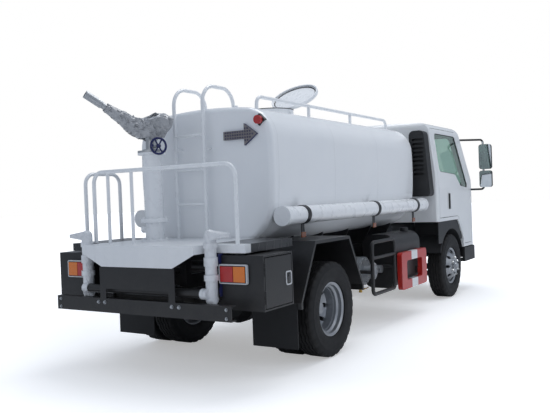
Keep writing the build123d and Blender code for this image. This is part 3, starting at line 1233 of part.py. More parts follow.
# Cab: three outlines crossed, hollowed by the same outlines set in by the wall
BELT_Z = AXLE_Z + 963
SCREEN_TOP_X = CAB_FRONT_X - 400
SCREEN_FOOT_X = CAB_FRONT_X - 60
ARCH_FRONT_X = FRONT_AXLE_X + 450
NOSE_Z = BELT_Z - 300
FRONT_CORNER = 170
FRONT_BOW = 25
ROOF_CROWN = 28
CROWN_MARGIN = 8


def round_corners(sketch, *corners):
    """Rounds the sketch's corner nearest each (x, y, radius)."""
    for x, y, radius in corners:
        if radius > 0:
            vertex = sketch.vertices().sort_by_distance((x, y, 0))[0]
            sketch = fillet(vertex, radius)
    return sketch


def soft_outline(*corners):
    """A straight-sided sketch through (x, y, radius) corners, each rounded by its own radius."""
    return round_corners(outline(*[(x, y) for x, y, radius in corners]), *corners)


def inset(sketch, amount):
    if amount == 0:
        return sketch
    return offset(sketch, -amount, kind=Kind.INTERSECTION)


cab_side = soft_outline(
    (CAB_REAR_X, CAB_FLOOR, 0),
    (CAB_REAR_X, CAB_ROOF + CROWN_MARGIN, 80),
    (SCREEN_TOP_X, CAB_ROOF + CROWN_MARGIN, 130),
    (SCREEN_FOOT_X, BELT_Z, 200),
    (CAB_FRONT_X, NOSE_Z, 200),
    (CAB_FRONT_X, CAB_SILL, 0),
    (ARCH_FRONT_X, CAB_SILL, 0),
    (ARCH_FRONT_X, CAB_SILL + 130, 110),
    (ARCH_FRONT_X - 200, CAB_FLOOR, 110),
)
roof_edge = CAB_ROOF - ROOF_CROWN
cab_front = make_face(
    [
        Line((-CAB_HALF_WIDTH, BELT_Z), (-CAB_HALF_WIDTH, CAB_SILL - 100)),
        Line((-CAB_HALF_WIDTH, CAB_SILL - 100), (CAB_HALF_WIDTH, CAB_SILL - 100)),
        Line((CAB_HALF_WIDTH, CAB_SILL - 100), (CAB_HALF_WIDTH, BELT_Z)),
        Line((CAB_HALF_WIDTH, BELT_Z), (CAB_ROOF_HALF_WIDTH, roof_edge)),
        ThreePointArc((CAB_ROOF_HALF_WIDTH, roof_edge), (0, CAB_ROOF), (-CAB_ROOF_HALF_WIDTH, roof_edge)),
        Line((-CAB_ROOF_HALF_WIDTH, roof_edge), (-CAB_HALF_WIDTH, BELT_Z)),
    ]
)
cab_front = round_corners(
    cab_front,
    (CAB_HALF_WIDTH, BELT_Z, 300), (-CAB_HALF_WIDTH, BELT_Z, 300),
    (CAB_ROOF_HALF_WIDTH, roof_edge, 120), (-CAB_ROOF_HALF_WIDTH, roof_edge, 120),
)
plan_half = CAB_HALF_WIDTH + CROWN_MARGIN
plan_rear = CAB_REAR_X - CROWN_MARGIN
plan_front = CAB_FRONT_X - FRONT_BOW
cab_plan = make_face(
    [
        Line((plan_front, -plan_half), (plan_rear, -plan_half)),
        Line((plan_rear, -plan_half), (plan_rear, plan_half)),
        Line((plan_rear, plan_half), (plan_front, plan_half)),
        ThreePointArc((plan_front, plan_half), (CAB_FRONT_X + CROWN_MARGIN, 0), (plan_front, -plan_half)),
    ]
)
cab_plan = round_corners(
    cab_plan,
    (plan_front, plan_half, FRONT_CORNER), (plan_front, -plan_half, FRONT_CORNER),
    (plan_rear, plan_half, 60), (plan_rear, -plan_half, 60),
)


def cab_form(depth):
    """The cab's solid form, set in from its skin by a depth."""
    wide = CAB_HALF_WIDTH + 10
    form = along_y(inset(cab_side, depth), -wide, wide)
    form = form & along_x(inset(cab_front, depth), CAB_REAR_X - 10, CAB_FRONT_X + 10)
    return form & along_z(inset(cab_plan, depth), CAB_SILL - 10, CAB_ROOF + 10)


# The frame and engine pass through a tunnel in the underside
TUNNEL_HALF = 430
TUNNEL_TOP = FRAME_TOP + 80
tunnel_front_x = CAB_FRONT_X - CAB_WALL
engine_room_x = ENGINE_FRONT_X + 60


def tunnel(grow):
    room = slab(
        CAB_REAR_X, engine_room_x + grow, -TUNNEL_HALF - grow, TUNNEL_HALF + grow, CAB_SILL - 200,
        CAB_FLOOR + grow
    )
    nose = slab(
        engine_room_x, tunnel_front_x + grow, -TUNNEL_HALF - grow, TUNNEL_HALF + grow, CAB_SILL - 200,
        TUNNEL_TOP + grow
    )
    return room + nose


skin = cab_form(0)
hollow = cab_form(CAB_WALL)
walls = (skin - tunnel(0)) - (hollow - tunnel(CAB_WALL))

# Doors are cut from the side walls inside their own shut gap
DOOR_REAR_X = CAB_REAR_X + 80
DOOR_FRONT_X = FRONT_AXLE_X + 800
DOOR_TOP = CAB_ROOF - 88
DOOR_INNER_Y = 600
door_limits = outline(
    (DOOR_REAR_X, 0), (DOOR_REAR_X, DOOR_TOP), (SCREEN_TOP_X - 85, DOOR_TOP), (DOOR_FRONT_X, BELT_Z - 10),
    (DOOR_FRONT_X, 0)
)
door_outline = inset(cab_side, CAB_WALL + SHUT_GAP) & door_limits
door_hole = offset(door_outline, SHUT_GAP, kind=Kind.INTERSECTION)
side_window = soft_outline(
    (DOOR_REAR_X + 95, BELT_Z + 195, 50),
    (DOOR_REAR_X + 95, DOOR_TOP - 55, 60),
    (SCREEN_TOP_X - 145, DOOR_TOP - 55, 50),
    (DOOR_FRONT_X - 88, BELT_Z - 10, 40),
    (DOOR_FRONT_X - 400, BELT_Z + 20, 60),
    (DOOR_FRONT_X - 560, BELT_Z + 165, 80),
)
GLASS_DEPTH = 14
GLASS_THICKNESS = 6
glass_layer = cab_form(GLASS_DEPTH) - cab_form(GLASS_DEPTH + GLASS_THICKNESS)
wide = CAB_HALF_WIDTH + 10
door = walls & along_y(door_outline, DOOR_INNER_Y, wide)
window_prism = along_y(side_window, DOOR_INNER_Y, wide)
door = door - window_prism
door_glass = glass_layer & window_prism
for side_hole in both_sides(along_y(door_hole, DOOR_INNER_Y, wide)):
    walls = walls - side_hole
door_hinge_x = DOOR_FRONT_X + SHUT_GAP / 2
DOOR_HINGES = [CAB_SILL + 170, CAB_SILL + 580]
DOOR_HINGE_LENGTH = 120
for z in DOOR_HINGES:
    pinned, middle, room_for_middle, room_for_ends = hinge(
        (door_hinge_x, CAB_HALF_WIDTH, z), (0, 0, 1), DOOR_HINGE_LENGTH, 10, 4
    )
    door = door - room_for_ends + middle
    for room in both_sides(room_for_middle):
        walls = walls - room
    for knuckle_pair in both_sides(pinned):
        walls = walls + knuckle_pair
HANDLE_X = DOOR_REAR_X + 350
HANDLE_LOW = CAB_FLOOR + 140
handle = slab(HANDLE_X - 16, HANDLE_X + 16, CAB_HALF_WIDTH, CAB_HALF_WIDTH + 14, HANDLE_LOW, HANDLE_LOW + 190)
for one, name in zip(both_sides(door + handle), ("door_left", "door_right")):
    save(name, [one])
for one, name in zip(both_sides(door_glass), ("door_glass_left", "door_glass_right")):
    save(name, [one])

# Windscreen and rear window
screen = soft_outline(
    (-740, BELT_Z + 20, 70), (740, BELT_Z + 20, 70), (650, CAB_ROOF - 130, 70), (-650, CAB_ROOF - 130, 70)
)
screen_prism = along_x(screen, SCREEN_TOP_X - 120, CAB_FRONT_X + 10)
rear_light = soft_outline(
    (-430, BELT_Z + 180, 50), (430, BELT_Z + 180, 50), (430, CAB_ROOF - 200, 50), (-430, CAB_ROOF - 200, 50)
)
rear_prism = along_x(rear_light, CAB_REAR_X - 10, CAB_REAR_X + CAB_WALL + 10)
walls = walls - screen_prism - rear_prism
save("cab_glass", [glass_layer & screen_prism, glass_layer & rear_prism])

# Grille and headlamps let into the front skin
TRIM_DEPTH = 14
trim_layer = skin - cab_form(TRIM_DEPTH)
grille_shape = soft_outline(
    (-470, CAB_SILL + 190, 30), (470, CAB_SILL + 190, 30), (520, NOSE_Z - 40, 30), (-520, NOSE_Z - 40, 30)
)
grille_prism = along_x(grille_shape, CAB_FRONT_X - 60, CAB_FRONT_X + 10)
lamp_shape = soft_outline(
    (520, CAB_SILL + 60, 30), (800, CAB_SILL + 80, 30), (800, CAB_SILL + 230, 40), (530, CAB_SILL + 200, 30)
)
lamp_prism = along_x(lamp_shape, CAB_FRONT_X - 170, CAB_FRONT_X + 10)
grille = trim_layer & grille_prism
headlamps = []
walls = walls - grille
for one in both_sides(trim_layer & lamp_prism):
    walls = walls - one
    headlamps.append(one)
GRILLE_SLATS = 5
slat_pitch = (NOSE_Z - 40 - CAB_SILL - 190) / GRILLE_SLATS
for index in range(GRILLE_SLATS):
    low = CAB_SILL + 190 + (index + 0.3) * slat_pitch
    grille = grille - slab(CAB_FRONT_X - 8, CAB_FRONT_X + 10, -440, 440, low, low + 0.45 * slat_pitch)
save("front_grille", [grille])
save("headlamps", headlamps)

# Tilt lugs under the cab nose, on the pins of the frame
lug_in = FRAME_HALF_WIDTH + TILT_LUG_WIDTH + 2
lug_out = FRAME_HALF_WIDTH + 2 * TILT_LUG_WIDTH
lug = slab(TILT_X - TILT_LUG, TILT_X + TILT_LUG, lug_in, lug_out, TILT_Z, TUNNEL_TOP + 4)
lug = lug + rod((TILT_X, lug_in, TILT_Z), (TILT_X, lug_out, TILT_Z), TILT_LUG)
lug = lug - rod((TILT_X, lug_in - 5, TILT_Z), (TILT_X, lug_out + 5, TILT_Z), TILT_PIN_RADIUS + PIN_GAP)
for one in both_sides(lug):
    walls = walls + one
save("cab_shell", [walls])

# Front arches: curved liners over the wheels with an outer skirt and hangers up to the cab floor
ARCH_PLATE = 12
ARCH_INNER_Y = 480
ARCH_OUTER_Y = 850
arch_low = AXLE_Z + 190
wheel_centre = Pos(FRONT_AXLE_X, AXLE_Z)
above = slab(FRONT_AXLE_X - 600, FRONT_AXLE_X + 600, 0, 1000, arch_low, CAB_FLOOR)
arch = along_y(
    wheel_centre * (Circle(ARCH_RADIUS + ARCH_PLATE) - Circle(ARCH_RADIUS)), ARCH_INNER_Y, ARCH_OUTER_Y
)
fill = slab(
    CAB_REAR_X + 40, FRONT_AXLE_X + 430, ARCH_OUTER_Y - ARCH_PLATE, ARCH_OUTER_Y, CAB_FLOOR - 260, CAB_FLOOR
)
arch = arch + fill
for x in (FRONT_AXLE_X - 260, FRONT_AXLE_X + 120):
    arch = arch + slab(x, x + ARCH_PLATE, ARCH_INNER_Y, ARCH_OUTER_Y, AXLE_Z + 350, CAB_FLOOR)
wheel_room = along_y(wheel_centre * Circle(ARCH_RADIUS), 0, 1000)
arch = (arch & above) - wheel_room - skin
save("front_arches", both_sides(arch))

# Seats, dashboard and steering wheel
FLOOR_Z = CAB_FLOOR + CAB_WALL
SEAT_FRONT_X = CAB_REAR_X + 820
SEAT_BACK_X = CAB_REAR_X + 260
CUSHION_Z = FLOOR_Z + 330
seat_profile = soft_outline(
    (SEAT_BACK_X, FLOOR_Z, 0), (SEAT_FRONT_X - 40, FLOOR_Z, 0), (SEAT_FRONT_X, CUSHION_Z - 120, 30),
    (SEAT_FRONT_X, CUSHION_Z, 40), (SEAT_BACK_X + 130, CUSHION_Z - 30, 40),
    (SEAT_BACK_X + 20, CUSHION_Z + 560, 50), (SEAT_BACK_X - 110, CUSHION_Z + 560, 50),
    (SEAT_BACK_X - 10, CUSHION_Z - 60, 40),
)
seats = []
for inner, outer in ((190, 690), (-690, 150)):
    seats.append(along_y(seat_profile, inner, outer))
save("seats", seats)
DASH_REAR_X = CAB_FRONT_X - 330
dash_profile = soft_outline(
    (DASH_REAR_X + 60, BELT_Z - 330, 30), (DASH_REAR_X, BELT_Z - 230, 30), (DASH_REAR_X, BELT_Z - 90, 40),
    (DASH_REAR_X + 90, BELT_Z - 20, 40), (CAB_FRONT_X, BELT_Z - 20, 0), (CAB_FRONT_X, BELT_Z - 330, 0),
)
door_room = CAB_WALL + 60
dash = along_y(dash_profile, door_room - CAB_HALF_WIDTH, CAB_HALF_WIDTH - door_room) & hollow
DRIVER_Y = 430
COLUMN_TILT = 35
STEER_RADIUS = 195
column_foot = (DASH_REAR_X + 60, DRIVER_Y, BELT_Z - 130)
COLUMN_LENGTH = 220
column_x = column_foot[0] - COLUMN_LENGTH * cos(radians(COLUMN_TILT))
column_z = column_foot[2] + COLUMN_LENGTH * sin(radians(COLUMN_TILT))
dash = dash + rod(column_foot, (column_x, DRIVER_Y, column_z), 24)
save("dashboard", [dash])
steer_plane = Plane(
    (column_x, DRIVER_Y, column_z), x_dir=(0, 1, 0),
    z_dir=(-cos(radians(COLUMN_TILT)), 0, sin(radians(COLUMN_TILT)))
)
steering_wheel = Pos(0, 0, 40) * Torus(STEER_RADIUS, 15)
steering_wheel = steering_wheel + extrude(Pos(0, 0, PIN_GAP) * Circle(50), amount=44)
for angle in (90, 210, 330):
    tip = (STEER_RADIUS * cos(radians(angle)), STEER_RADIUS * sin(radians(angle)), 40)
    steering_wheel = steering_wheel + rod((0, 0, 30), tip, 11)
save("steering_wheel", [steer_plane * steering_wheel])

# Mirrors on two-leg arms at the front pillars
MIRROR_X = FRONT_AXLE_X + 905
MIRROR_INNER_Y = 975
MIRROR_OUTER_Y = 1135
MIRROR_DEPTH = 60
ARM_TUBE = 13
arm_top = AXLE_Z + 1590
arm_low_z = AXLE_Z + 930
stay_y = (MIRROR_INNER_Y + MIRROR_OUTER_Y) / 2 - 40
mirror_arm = bent_tube(
    [
        (SCREEN_TOP_X + 70, CAB_ROOF_HALF_WIDTH - 60, arm_top), (MIRROR_X + 38, stay_y, arm_top),
        (MIRROR_X + 38, stay_y, arm_low_z), (MIRROR_X - 70, CAB_HALF_WIDTH - 30, arm_low_z),
    ],
    ARM_TUBE, 40,
)
mirror_arm = mirror_arm - skin
main_head = along_x(
    rounded(
        34, (MIRROR_INNER_Y, AXLE_Z + 1195), (MIRROR_OUTER_Y, AXLE_Z + 1195),
        (MIRROR_OUTER_Y, AXLE_Z + 1525), (MIRROR_INNER_Y, AXLE_Z + 1525),
    ),
    MIRROR_X - MIRROR_DEPTH / 2, MIRROR_X + MIRROR_DEPTH / 2,
)
wide_head = along_x(
    rounded(
        30, (MIRROR_INNER_Y, AXLE_Z + 955), (MIRROR_OUTER_Y, AXLE_Z + 955),
        (MIRROR_OUTER_Y, AXLE_Z + 1175), (MIRROR_INNER_Y, AXLE_Z + 1175),
    ),
    MIRROR_X - MIRROR_DEPTH / 2, MIRROR_X + MIRROR_DEPTH / 2,
)
mirror_set = mirror_arm + main_head + wide_head
save("mirrors", both_sides(mirror_set))

# Air intake box on the back of the cab, right side, with louvres facing the rear
INTAKE_INNER_Y = -590
INTAKE_OUTER_Y = -830
INTAKE_LOW = AXLE_Z + 870
INTAKE_HIGH = AXLE_Z + 1640
intake_profile = soft_outline(
    (INTAKE_OUTER_Y, INTAKE_LOW, 40), (INTAKE_INNER_Y, INTAKE_LOW, 40),
    (INTAKE_INNER_Y, INTAKE_HIGH, 60), (INTAKE_OUTER_Y + 60, INTAKE_HIGH, 60),
)
intake = along_x(intake_profile, CAB_REAR_X - INTAKE_DEPTH, CAB_REAR_X)
LOUVRES = 9
for index in range(LOUVRES):
    low = INTAKE_LOW + 250 + index * 50
    intake = intake - slab(
        CAB_REAR_X - INTAKE_DEPTH, CAB_REAR_X - INTAKE_DEPTH + 40, INTAKE_OUTER_Y + 70, INTAKE_INNER_Y - 40,
        low, low + 26
    )
save("air_intake", [intake])

# Front bumper: a shell wrapped round the corners to the wheels, on brackets under the rails, with step plates
BUMPER_LOW = AXLE_Z + 3
BUMPER_HIGH = AXLE_Z + 180
BUMPER_WALL = 30
BUMPER_HALF_WIDTH = 868
BUMPER_REAR_X = FRONT_AXLE_X + 470
bumper_plan = soft_outline(
    (BUMPER_REAR_X, -BUMPER_HALF_WIDTH, 0), (FRONT_END_X, -BUMPER_HALF_WIDTH, 150),
    (FRONT_END_X, BUMPER_HALF_WIDTH, 150), (BUMPER_REAR_X, BUMPER_HALF_WIDTH, 0),
)
bumper_room = soft_outline(
    (BUMPER_REAR_X - 10, BUMPER_WALL - BUMPER_HALF_WIDTH, 0),
    (FRONT_END_X - BUMPER_WALL, BUMPER_WALL - BUMPER_HALF_WIDTH, 120),
    (FRONT_END_X - BUMPER_WALL, BUMPER_HALF_WIDTH - BUMPER_WALL, 120),
    (BUMPER_REAR_X - 10, BUMPER_HALF_WIDTH - BUMPER_WALL, 0),
)
bumper = along_z(bumper_plan, BUMPER_LOW, BUMPER_HIGH) - along_z(bumper_room, BUMPER_LOW, BUMPER_HIGH)
for side in (-1, 1):
    bumper = bumper + slab(
        FRAME_FRONT_X - 120, FRONT_END_X - BUMPER_WALL + 2, side * sill_in, side * FRAME_HALF_WIDTH,
        FRAME_BOTTOM - 50, FRAME_BOTTOM,
    )
    bumper = bumper + slab(
        BUMPER_REAR_X, BUMPER_REAR_X + 300, side * (BUMPER_HALF_WIDTH - 230), side * (BUMPER_HALF_WIDTH - 10),
        BUMPER_LOW, BUMPER_LOW + 20,
    )
save("front_bumper", [bumper])
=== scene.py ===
# %% [markdown]
# # A small water-sprinkler tanker truck
# The CAD part is loaded first and stays where it is. Everything below only dresses it:
# finishes for the CAD pieces, and small pieces such as tread, nuts, latches and seals
# that are easier to model as meshes. All sizes are metres in the frame of the part,
# with X forward, Y to the truck's left and Z up from the ground.

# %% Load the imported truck
import bmesh
import bpy
from math import cos, pi, radians, sin
from mathutils import Matrix, Vector, noise
from mathutils.geometry import delaunay_2d_cdt


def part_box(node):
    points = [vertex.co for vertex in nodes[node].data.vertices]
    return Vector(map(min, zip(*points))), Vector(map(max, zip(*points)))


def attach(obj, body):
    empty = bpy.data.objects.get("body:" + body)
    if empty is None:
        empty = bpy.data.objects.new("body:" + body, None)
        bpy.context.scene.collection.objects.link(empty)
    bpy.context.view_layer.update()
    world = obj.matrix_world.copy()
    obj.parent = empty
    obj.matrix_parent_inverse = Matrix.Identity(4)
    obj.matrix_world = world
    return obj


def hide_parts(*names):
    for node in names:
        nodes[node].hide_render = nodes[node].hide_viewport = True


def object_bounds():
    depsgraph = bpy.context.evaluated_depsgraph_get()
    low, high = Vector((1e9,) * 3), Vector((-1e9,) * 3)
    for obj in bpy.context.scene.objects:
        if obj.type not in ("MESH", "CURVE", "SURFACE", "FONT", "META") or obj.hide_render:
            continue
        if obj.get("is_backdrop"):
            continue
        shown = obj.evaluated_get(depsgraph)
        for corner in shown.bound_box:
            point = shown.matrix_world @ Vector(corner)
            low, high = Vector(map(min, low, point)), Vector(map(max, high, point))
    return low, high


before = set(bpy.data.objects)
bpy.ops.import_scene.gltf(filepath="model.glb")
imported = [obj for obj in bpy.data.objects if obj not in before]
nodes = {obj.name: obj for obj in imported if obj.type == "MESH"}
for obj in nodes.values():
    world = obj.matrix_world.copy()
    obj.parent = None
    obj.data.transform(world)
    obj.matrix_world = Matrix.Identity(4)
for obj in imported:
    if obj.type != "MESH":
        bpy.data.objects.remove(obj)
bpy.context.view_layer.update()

# %% [markdown]
# The camera stands behind the truck on its right, at about eye height. Its place was
# fitted to both axles, the tank and the rear platform, so the render lines up with the
# photograph. A camera looks along its own -Z, so the third column of its matrix is the
# direction that points backwards.

# %% Camera
YAW, PITCH, ROLL = radians(32.2045), radians(-0.8099), radians(-2.1435)
EYE = Vector((-6.4547, -3.4866, 1.3159))
FOCAL_PIXELS, PICTURE_WIDTH, SENSOR = 678.68, 550, 36.0
ahead = Vector((cos(YAW) * cos(PITCH), sin(YAW) * cos(PITCH), sin(PITCH)))
level_right = ahead.cross(Vector((0, 0, 1))).normalized()
level_up = level_right.cross(ahead)
right = cos(ROLL) * level_right + sin(ROLL) * level_up
up = cos(ROLL) * level_up - sin(ROLL) * level_right
lens = bpy.data.cameras.new("camera")
lens.sensor_width = SENSOR
lens.sensor_fit = "HORIZONTAL"
lens.lens = FOCAL_PIXELS / PICTURE_WIDTH * SENSOR
camera = bpy.data.objects.new("camera", lens)
camera.matrix_world = Matrix((right, up, -ahead)).transposed().to_4x4()
camera.location = EYE
scene = bpy.context.scene
scene.collection.objects.link(camera)
scene.camera = camera
print("lens", round(lens.lens, 2), "mm")

# %% [markdown]
# Colours are written as the sRGB hex values one would pick from a paint card. Blender
# mixes light in linear values, so one function turns hex into linear. Another adds a
# shader node, sets its properties and fills its sockets, each with a value or with a link
# from another node, whose first live output is meant unless a socket is named. It puts
# ShaderNode, which starts every kind's name, in front. Patterns are sized in millimetres:
# a texture's scale is how often it repeats per metre.

# %% Colour and node helpers
def linear(hex_colour):
    channels = [int(hex_colour[i:i + 2], 16) / 255 for i in (0, 2, 4)]
    return [c / 12.92 if c <= 0.04045 else ((c + 0.055) / 1.055) ** 2.4 for c in channels] + [1.0]


def per_mm(size):
    return 1000.0 / size


def fill(node, sockets):
    for key, value in sockets.items():
        if isinstance(value, bpy.types.Node):
            value = next(output for output in value.outputs if output.enabled)
        if isinstance(value, bpy.types.NodeSocket):
            node.id_data.links.new(value, node.inputs[key])
        else:
            node.inputs[key].default_value = value


def add(tree, kind, sockets=None, **settings):
    made = tree.nodes.new("ShaderNode" + kind)
    for name, value in settings.items():
        setattr(made, name, value)
    fill(made, sockets or {})
    return made


def blank(name, sockets):
    material = bpy.data.materials.new(name)
    material.use_nodes = True
    tree = material.node_tree
    tree.nodes.clear()
    shader = add(tree, "BsdfPrincipled", sockets)
    add(tree, "OutputMaterial", {"Surface": shader})
    place = add(tree, "TexCoord").outputs["Object"]
    return material, tree, shader, place


print("white card in linear values:", [round(v, 3) for v in linear("F2F4F6")])

# %% [markdown]
# The truck stands in open shade: soft bluish light from all round, a stronger lamp overhead.
# The camera should see a white room, so Light Path lets the world show as white to the camera
# and through glass, while the truck is lit at an ordinary level.

# %% Studio light
def seen_directly(tree):
    rays = add(tree, "LightPath").outputs
    ways = {0: rays["Is Camera Ray"], 1: rays["Is Transmission Ray"]}
    return add(tree, "Math", ways, operation="MAXIMUM")


WHITE = (1, 1, 1, 1)
world = bpy.data.worlds.new("studio")
scene.world = world
world.use_nodes = True
sky = world.node_tree
sky.nodes.clear()
outward = add(sky, "TexCoord").outputs["Generated"]
height = add(sky, "SeparateXYZ", {0: outward}).outputs["Z"]
rise = add(sky, "MapRange", {"Value": height, "From Min": -0.1, "From Max": 0.9})
dome = add(sky, "Mix", {0: rise, 6: linear("CDD6E4"), 7: linear("DCE8FA")}, data_type="RGBA")
lit = add(sky, "Background", {"Color": dome, "Strength": 0.56})
shown = add(sky, "Background", {"Color": WHITE, "Strength": 1.0})
both = add(sky, "MixShader", {0: seen_directly(sky), 1: lit, 2: shown})
add(sky, "OutputWorld", {"Surface": both})

# Each lamp: its name, place, the point it faces, its width in metres and its power in watts.
LAMPS = [
    ("overhead_softbox", (1.0, -0.5, 7.5), (0, 0, 0.6), 5.0, 235),
    ("right_softbox", (1.5, -8.0, 4.0), (0, 0, 1.0), 5.0, 60),
    ("rear_fill", (-8.5, -1.0, 2.5), (-1, 0, 1.0), 4.0, 26),
]
for name, place, target, size, power in LAMPS:
    lamp = bpy.data.lights.new(name, "AREA")
    lamp.size = size
    lamp.energy = power
    stand = bpy.data.objects.new(name, lamp)
    stand.location = place
    stand.rotation_mode = "QUATERNION"
    stand.rotation_quaternion = (Vector(target) - Vector(place)).to_track_quat("-Z", "Y")
    scene.collection.objects.link(stand)
scene.view_settings.view_transform = "Standard"
print("lamps:", len(LAMPS))

# %% [markdown]
# The floor is a wide pale sheet of matt paper. Far off it glows white to the camera, like the
# world, so no horizon shows. Near the truck it glows less, which leaves its shadow to be seen.

# %% Paper floor
GLOW_NEAR, GLOW_FAR = 2.5, 7.0
FLOOR_HALF = 60
paper, tree, shader, place = blank("matt_paper_sweep", {"Roughness": 0.9, "Specular IOR Level": 0.1})
fibre = add(tree, "TexNoise", {"Vector": place, "Scale": per_mm(900), "Detail": 3.0})
tint = add(tree, "Mix", {0: fibre, 6: linear("F1F2F3"), 7: linear("F7F7F8")}, data_type="RGBA")
away = add(tree, "VectorMath", {0: place}, operation="LENGTH").outputs["Value"]
white = add(tree, "MapRange", {
    "Value": away, "From Min": GLOW_NEAR, "From Max": GLOW_FAR, "To Min": 0.38, "To Max": 1.0})
glow = add(tree, "Math", {0: seen_directly(tree), 1: white}, operation="MULTIPLY")
fill(shader, {"Base Color": tint, "Emission Strength": glow, "Emission Color": WHITE})
sheet = bmesh.new()
bmesh.ops.create_grid(sheet, x_segments=2, y_segments=2, size=FLOOR_HALF)
floor_mesh = bpy.data.meshes.new("paper_floor")
sheet.to_mesh(floor_mesh)
sheet.free()
floor = bpy.data.objects.new("paper_floor", floor_mesh)
floor.data.materials.append(paper)
scene.collection.objects.link(floor)
floor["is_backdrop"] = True
print("floor", 2 * FLOOR_HALF, "m wide")

# %% [markdown]
# Most of the truck is sprayed steel. Sprayed enamel has a faint orange peel, a gloss that
# varies a little, and a thin veil of road dust low down. One function builds that finish
# from two close shades, a range of roughness and a ripple size, so white tank, black frame,
# silver wheels and red guard differ only in their numbers. Real orange peel is about 3 mm,
# too fine for this picture, so it is drawn coarser.

# %% Sprayed paint
DUST = linear("8C857A")
DUST_TOP, DUST_FOOT = 1.1, 0.2


def sprayed_paint(name, shades, roughness, ripple_mm, ripple=0.06, coat=0.0, metal=0.0, dust=0.12):
    material, tree, shader, place = blank(name, {
        "Metallic": metal, "Coat Weight": coat, "Coat Roughness": 0.05})
    cloud = add(tree, "TexNoise", {
        "Vector": place, "Scale": per_mm(420), "Detail": 5.0, "Roughness": 0.62})
    tint = add(tree, "Mix", {
        0: cloud, 6: linear(shades[0]), 7: linear(shades[1])}, data_type="RGBA")
    low = add(tree, "SeparateXYZ", {0: place}).outputs["Z"]
    veil = add(tree, "MapRange", {
        "Value": low, "From Min": DUST_TOP, "From Max": DUST_FOOT, "To Min": 0.0, "To Max": dust})
    patch = add(tree, "TexNoise", {
        "Vector": place, "Scale": per_mm(90), "Detail": 6.0, "Roughness": 0.7})
    dusty = add(tree, "Math", {0: veil, 1: patch}, operation="MULTIPLY")
    coloured = add(tree, "Mix", {0: dusty, 6: tint, 7: DUST}, data_type="RGBA")
    gloss = add(tree, "MapRange", {
        "Value": patch, "To Min": roughness[0], "To Max": roughness[1]})
    peel = add(tree, "TexNoise", {"Vector": place, "Scale": per_mm(ripple_mm), "Detail": 2.0})
    relief = add(tree, "Bump", {
        "Height": peel, "Strength": ripple, "Distance": ripple_mm / 4000})
    fill(shader, {"Base Color": coloured, "Roughness": gloss, "Normal": relief})
    return material


white_enamel = sprayed_paint(
    "white_enamel_on_steel", ("F4F5F6", "E9ECEF"), (0.22, 0.34), 14, 0.05, coat=0.4)
cab_enamel = sprayed_paint(
    "white_cab_enamel", ("F5F6F6", "EDEFF0"), (0.16, 0.26), 12, 0.03, coat=0.6)
black_enamel = sprayed_paint(
    "satin_black_enamel", ("121316", "1B1C20"), (0.34, 0.5), 16, 0.1, dust=0.2)
frame_black = sprayed_paint(
    "dipped_black_chassis_paint", ("0D0E10", "17181B"), (0.42, 0.6), 22, 0.2, dust=0.3)
silver_paint = sprayed_paint(
    "silver_wheel_paint", ("B4B8BD", "9DA1A7"), (0.3, 0.42), 10, 0.06, metal=0.75, dust=0.35)
red_enamel = sprayed_paint(
    "red_guard_enamel", ("C8201A", "B0170F"), (0.25, 0.36), 14, 0.06, coat=0.3)
navy_enamel = sprayed_paint("navy_bracket_enamel", ("161F5C", "10184A"), (0.3, 0.42), 14, 0.06)
pale_enamel = sprayed_paint("pale_trim_enamel", ("DADBDC", "C6C8CA"), (0.28, 0.4), 14, 0.06)
print("paints:", [m.name for m in bpy.data.materials if "enamel" in m.name or "paint" in m.name])

# %% [markdown]
# The tank is rolled from sheets and welded round where the sheets meet and where the dished
# heads go in. Painted welds are low rounded ridges, drawn here as bump at the X of each seam,
# with a wide gentle waviness of the rolled sheet that bends the reflections. The finish is an
# ordinary sprayed paint that is opened again, to lay this relief over its orange peel.

# %% Welded tank
def reopen(material):
    tree = material.node_tree
    kinds = {node.type: node for node in tree.nodes}
    return tree, kinds["BSDF_PRINCIPLED"], kinds["TEX_COORD"].outputs["Object"]


def fed_by(shader, socket):
    return shader.inputs[socket].links[0].from_socket


tank_enamel = sprayed_paint(
    "white_enamel_on_rolled_tank", ("F5F6F7", "ECEFF2"), (0.2, 0.3), 16, 0.04, coat=0.5)
tree, shader, place = reopen(tank_enamel)
along = add(tree, "SeparateXYZ", {0: place}).outputs["X"]
tank_low, tank_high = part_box("tank_shell")
HEAD_SEAM, SEAM_WIDTH = 0.085, 0.014
SEAMS = [tank_low.x + HEAD_SEAM, tank_low.x + 1.05, tank_low.x + 2.0, tank_high.x - HEAD_SEAM]
ridge = 0.0
for seam in SEAMS:
    shifted = add(tree, "Math", {0: along, 1: seam}, operation="SUBTRACT")
    away = add(tree, "Math", {0: shifted}, operation="ABSOLUTE")
    bead = add(tree, "MapRange", {
        "Value": away, "From Min": SEAM_WIDTH / 2, "From Max": 0.0}, interpolation_type="SMOOTHSTEP")
    ridge = add(tree, "Math", {0: ridge, 1: bead}, operation="ADD")
wave = add(tree, "TexNoise", {"Vector": place, "Scale": per_mm(600), "Detail": 1.0})
rolled = add(tree, "Bump", {
    "Height": wave, "Strength": 0.25, "Distance": 0.02, "Normal": fed_by(shader, "Normal")})
welded = add(tree, "Bump", {
    "Height": ridge, "Strength": 0.7, "Distance": 0.003, "Normal": rolled})
fill(shader, {"Normal": welded})
print("weld seams at X:", [round(seam, 2) for seam in SEAMS])

# %% [markdown]
# Moulded ABS has a leather-like grain pressed in by the mould, which breaks up its highlight.
# A Voronoi pattern of about 2 mm gives the pebbles; it is drawn at 5 mm so that it shows. A
# helper lets one pattern shift colour and gloss together, as handling and age do.

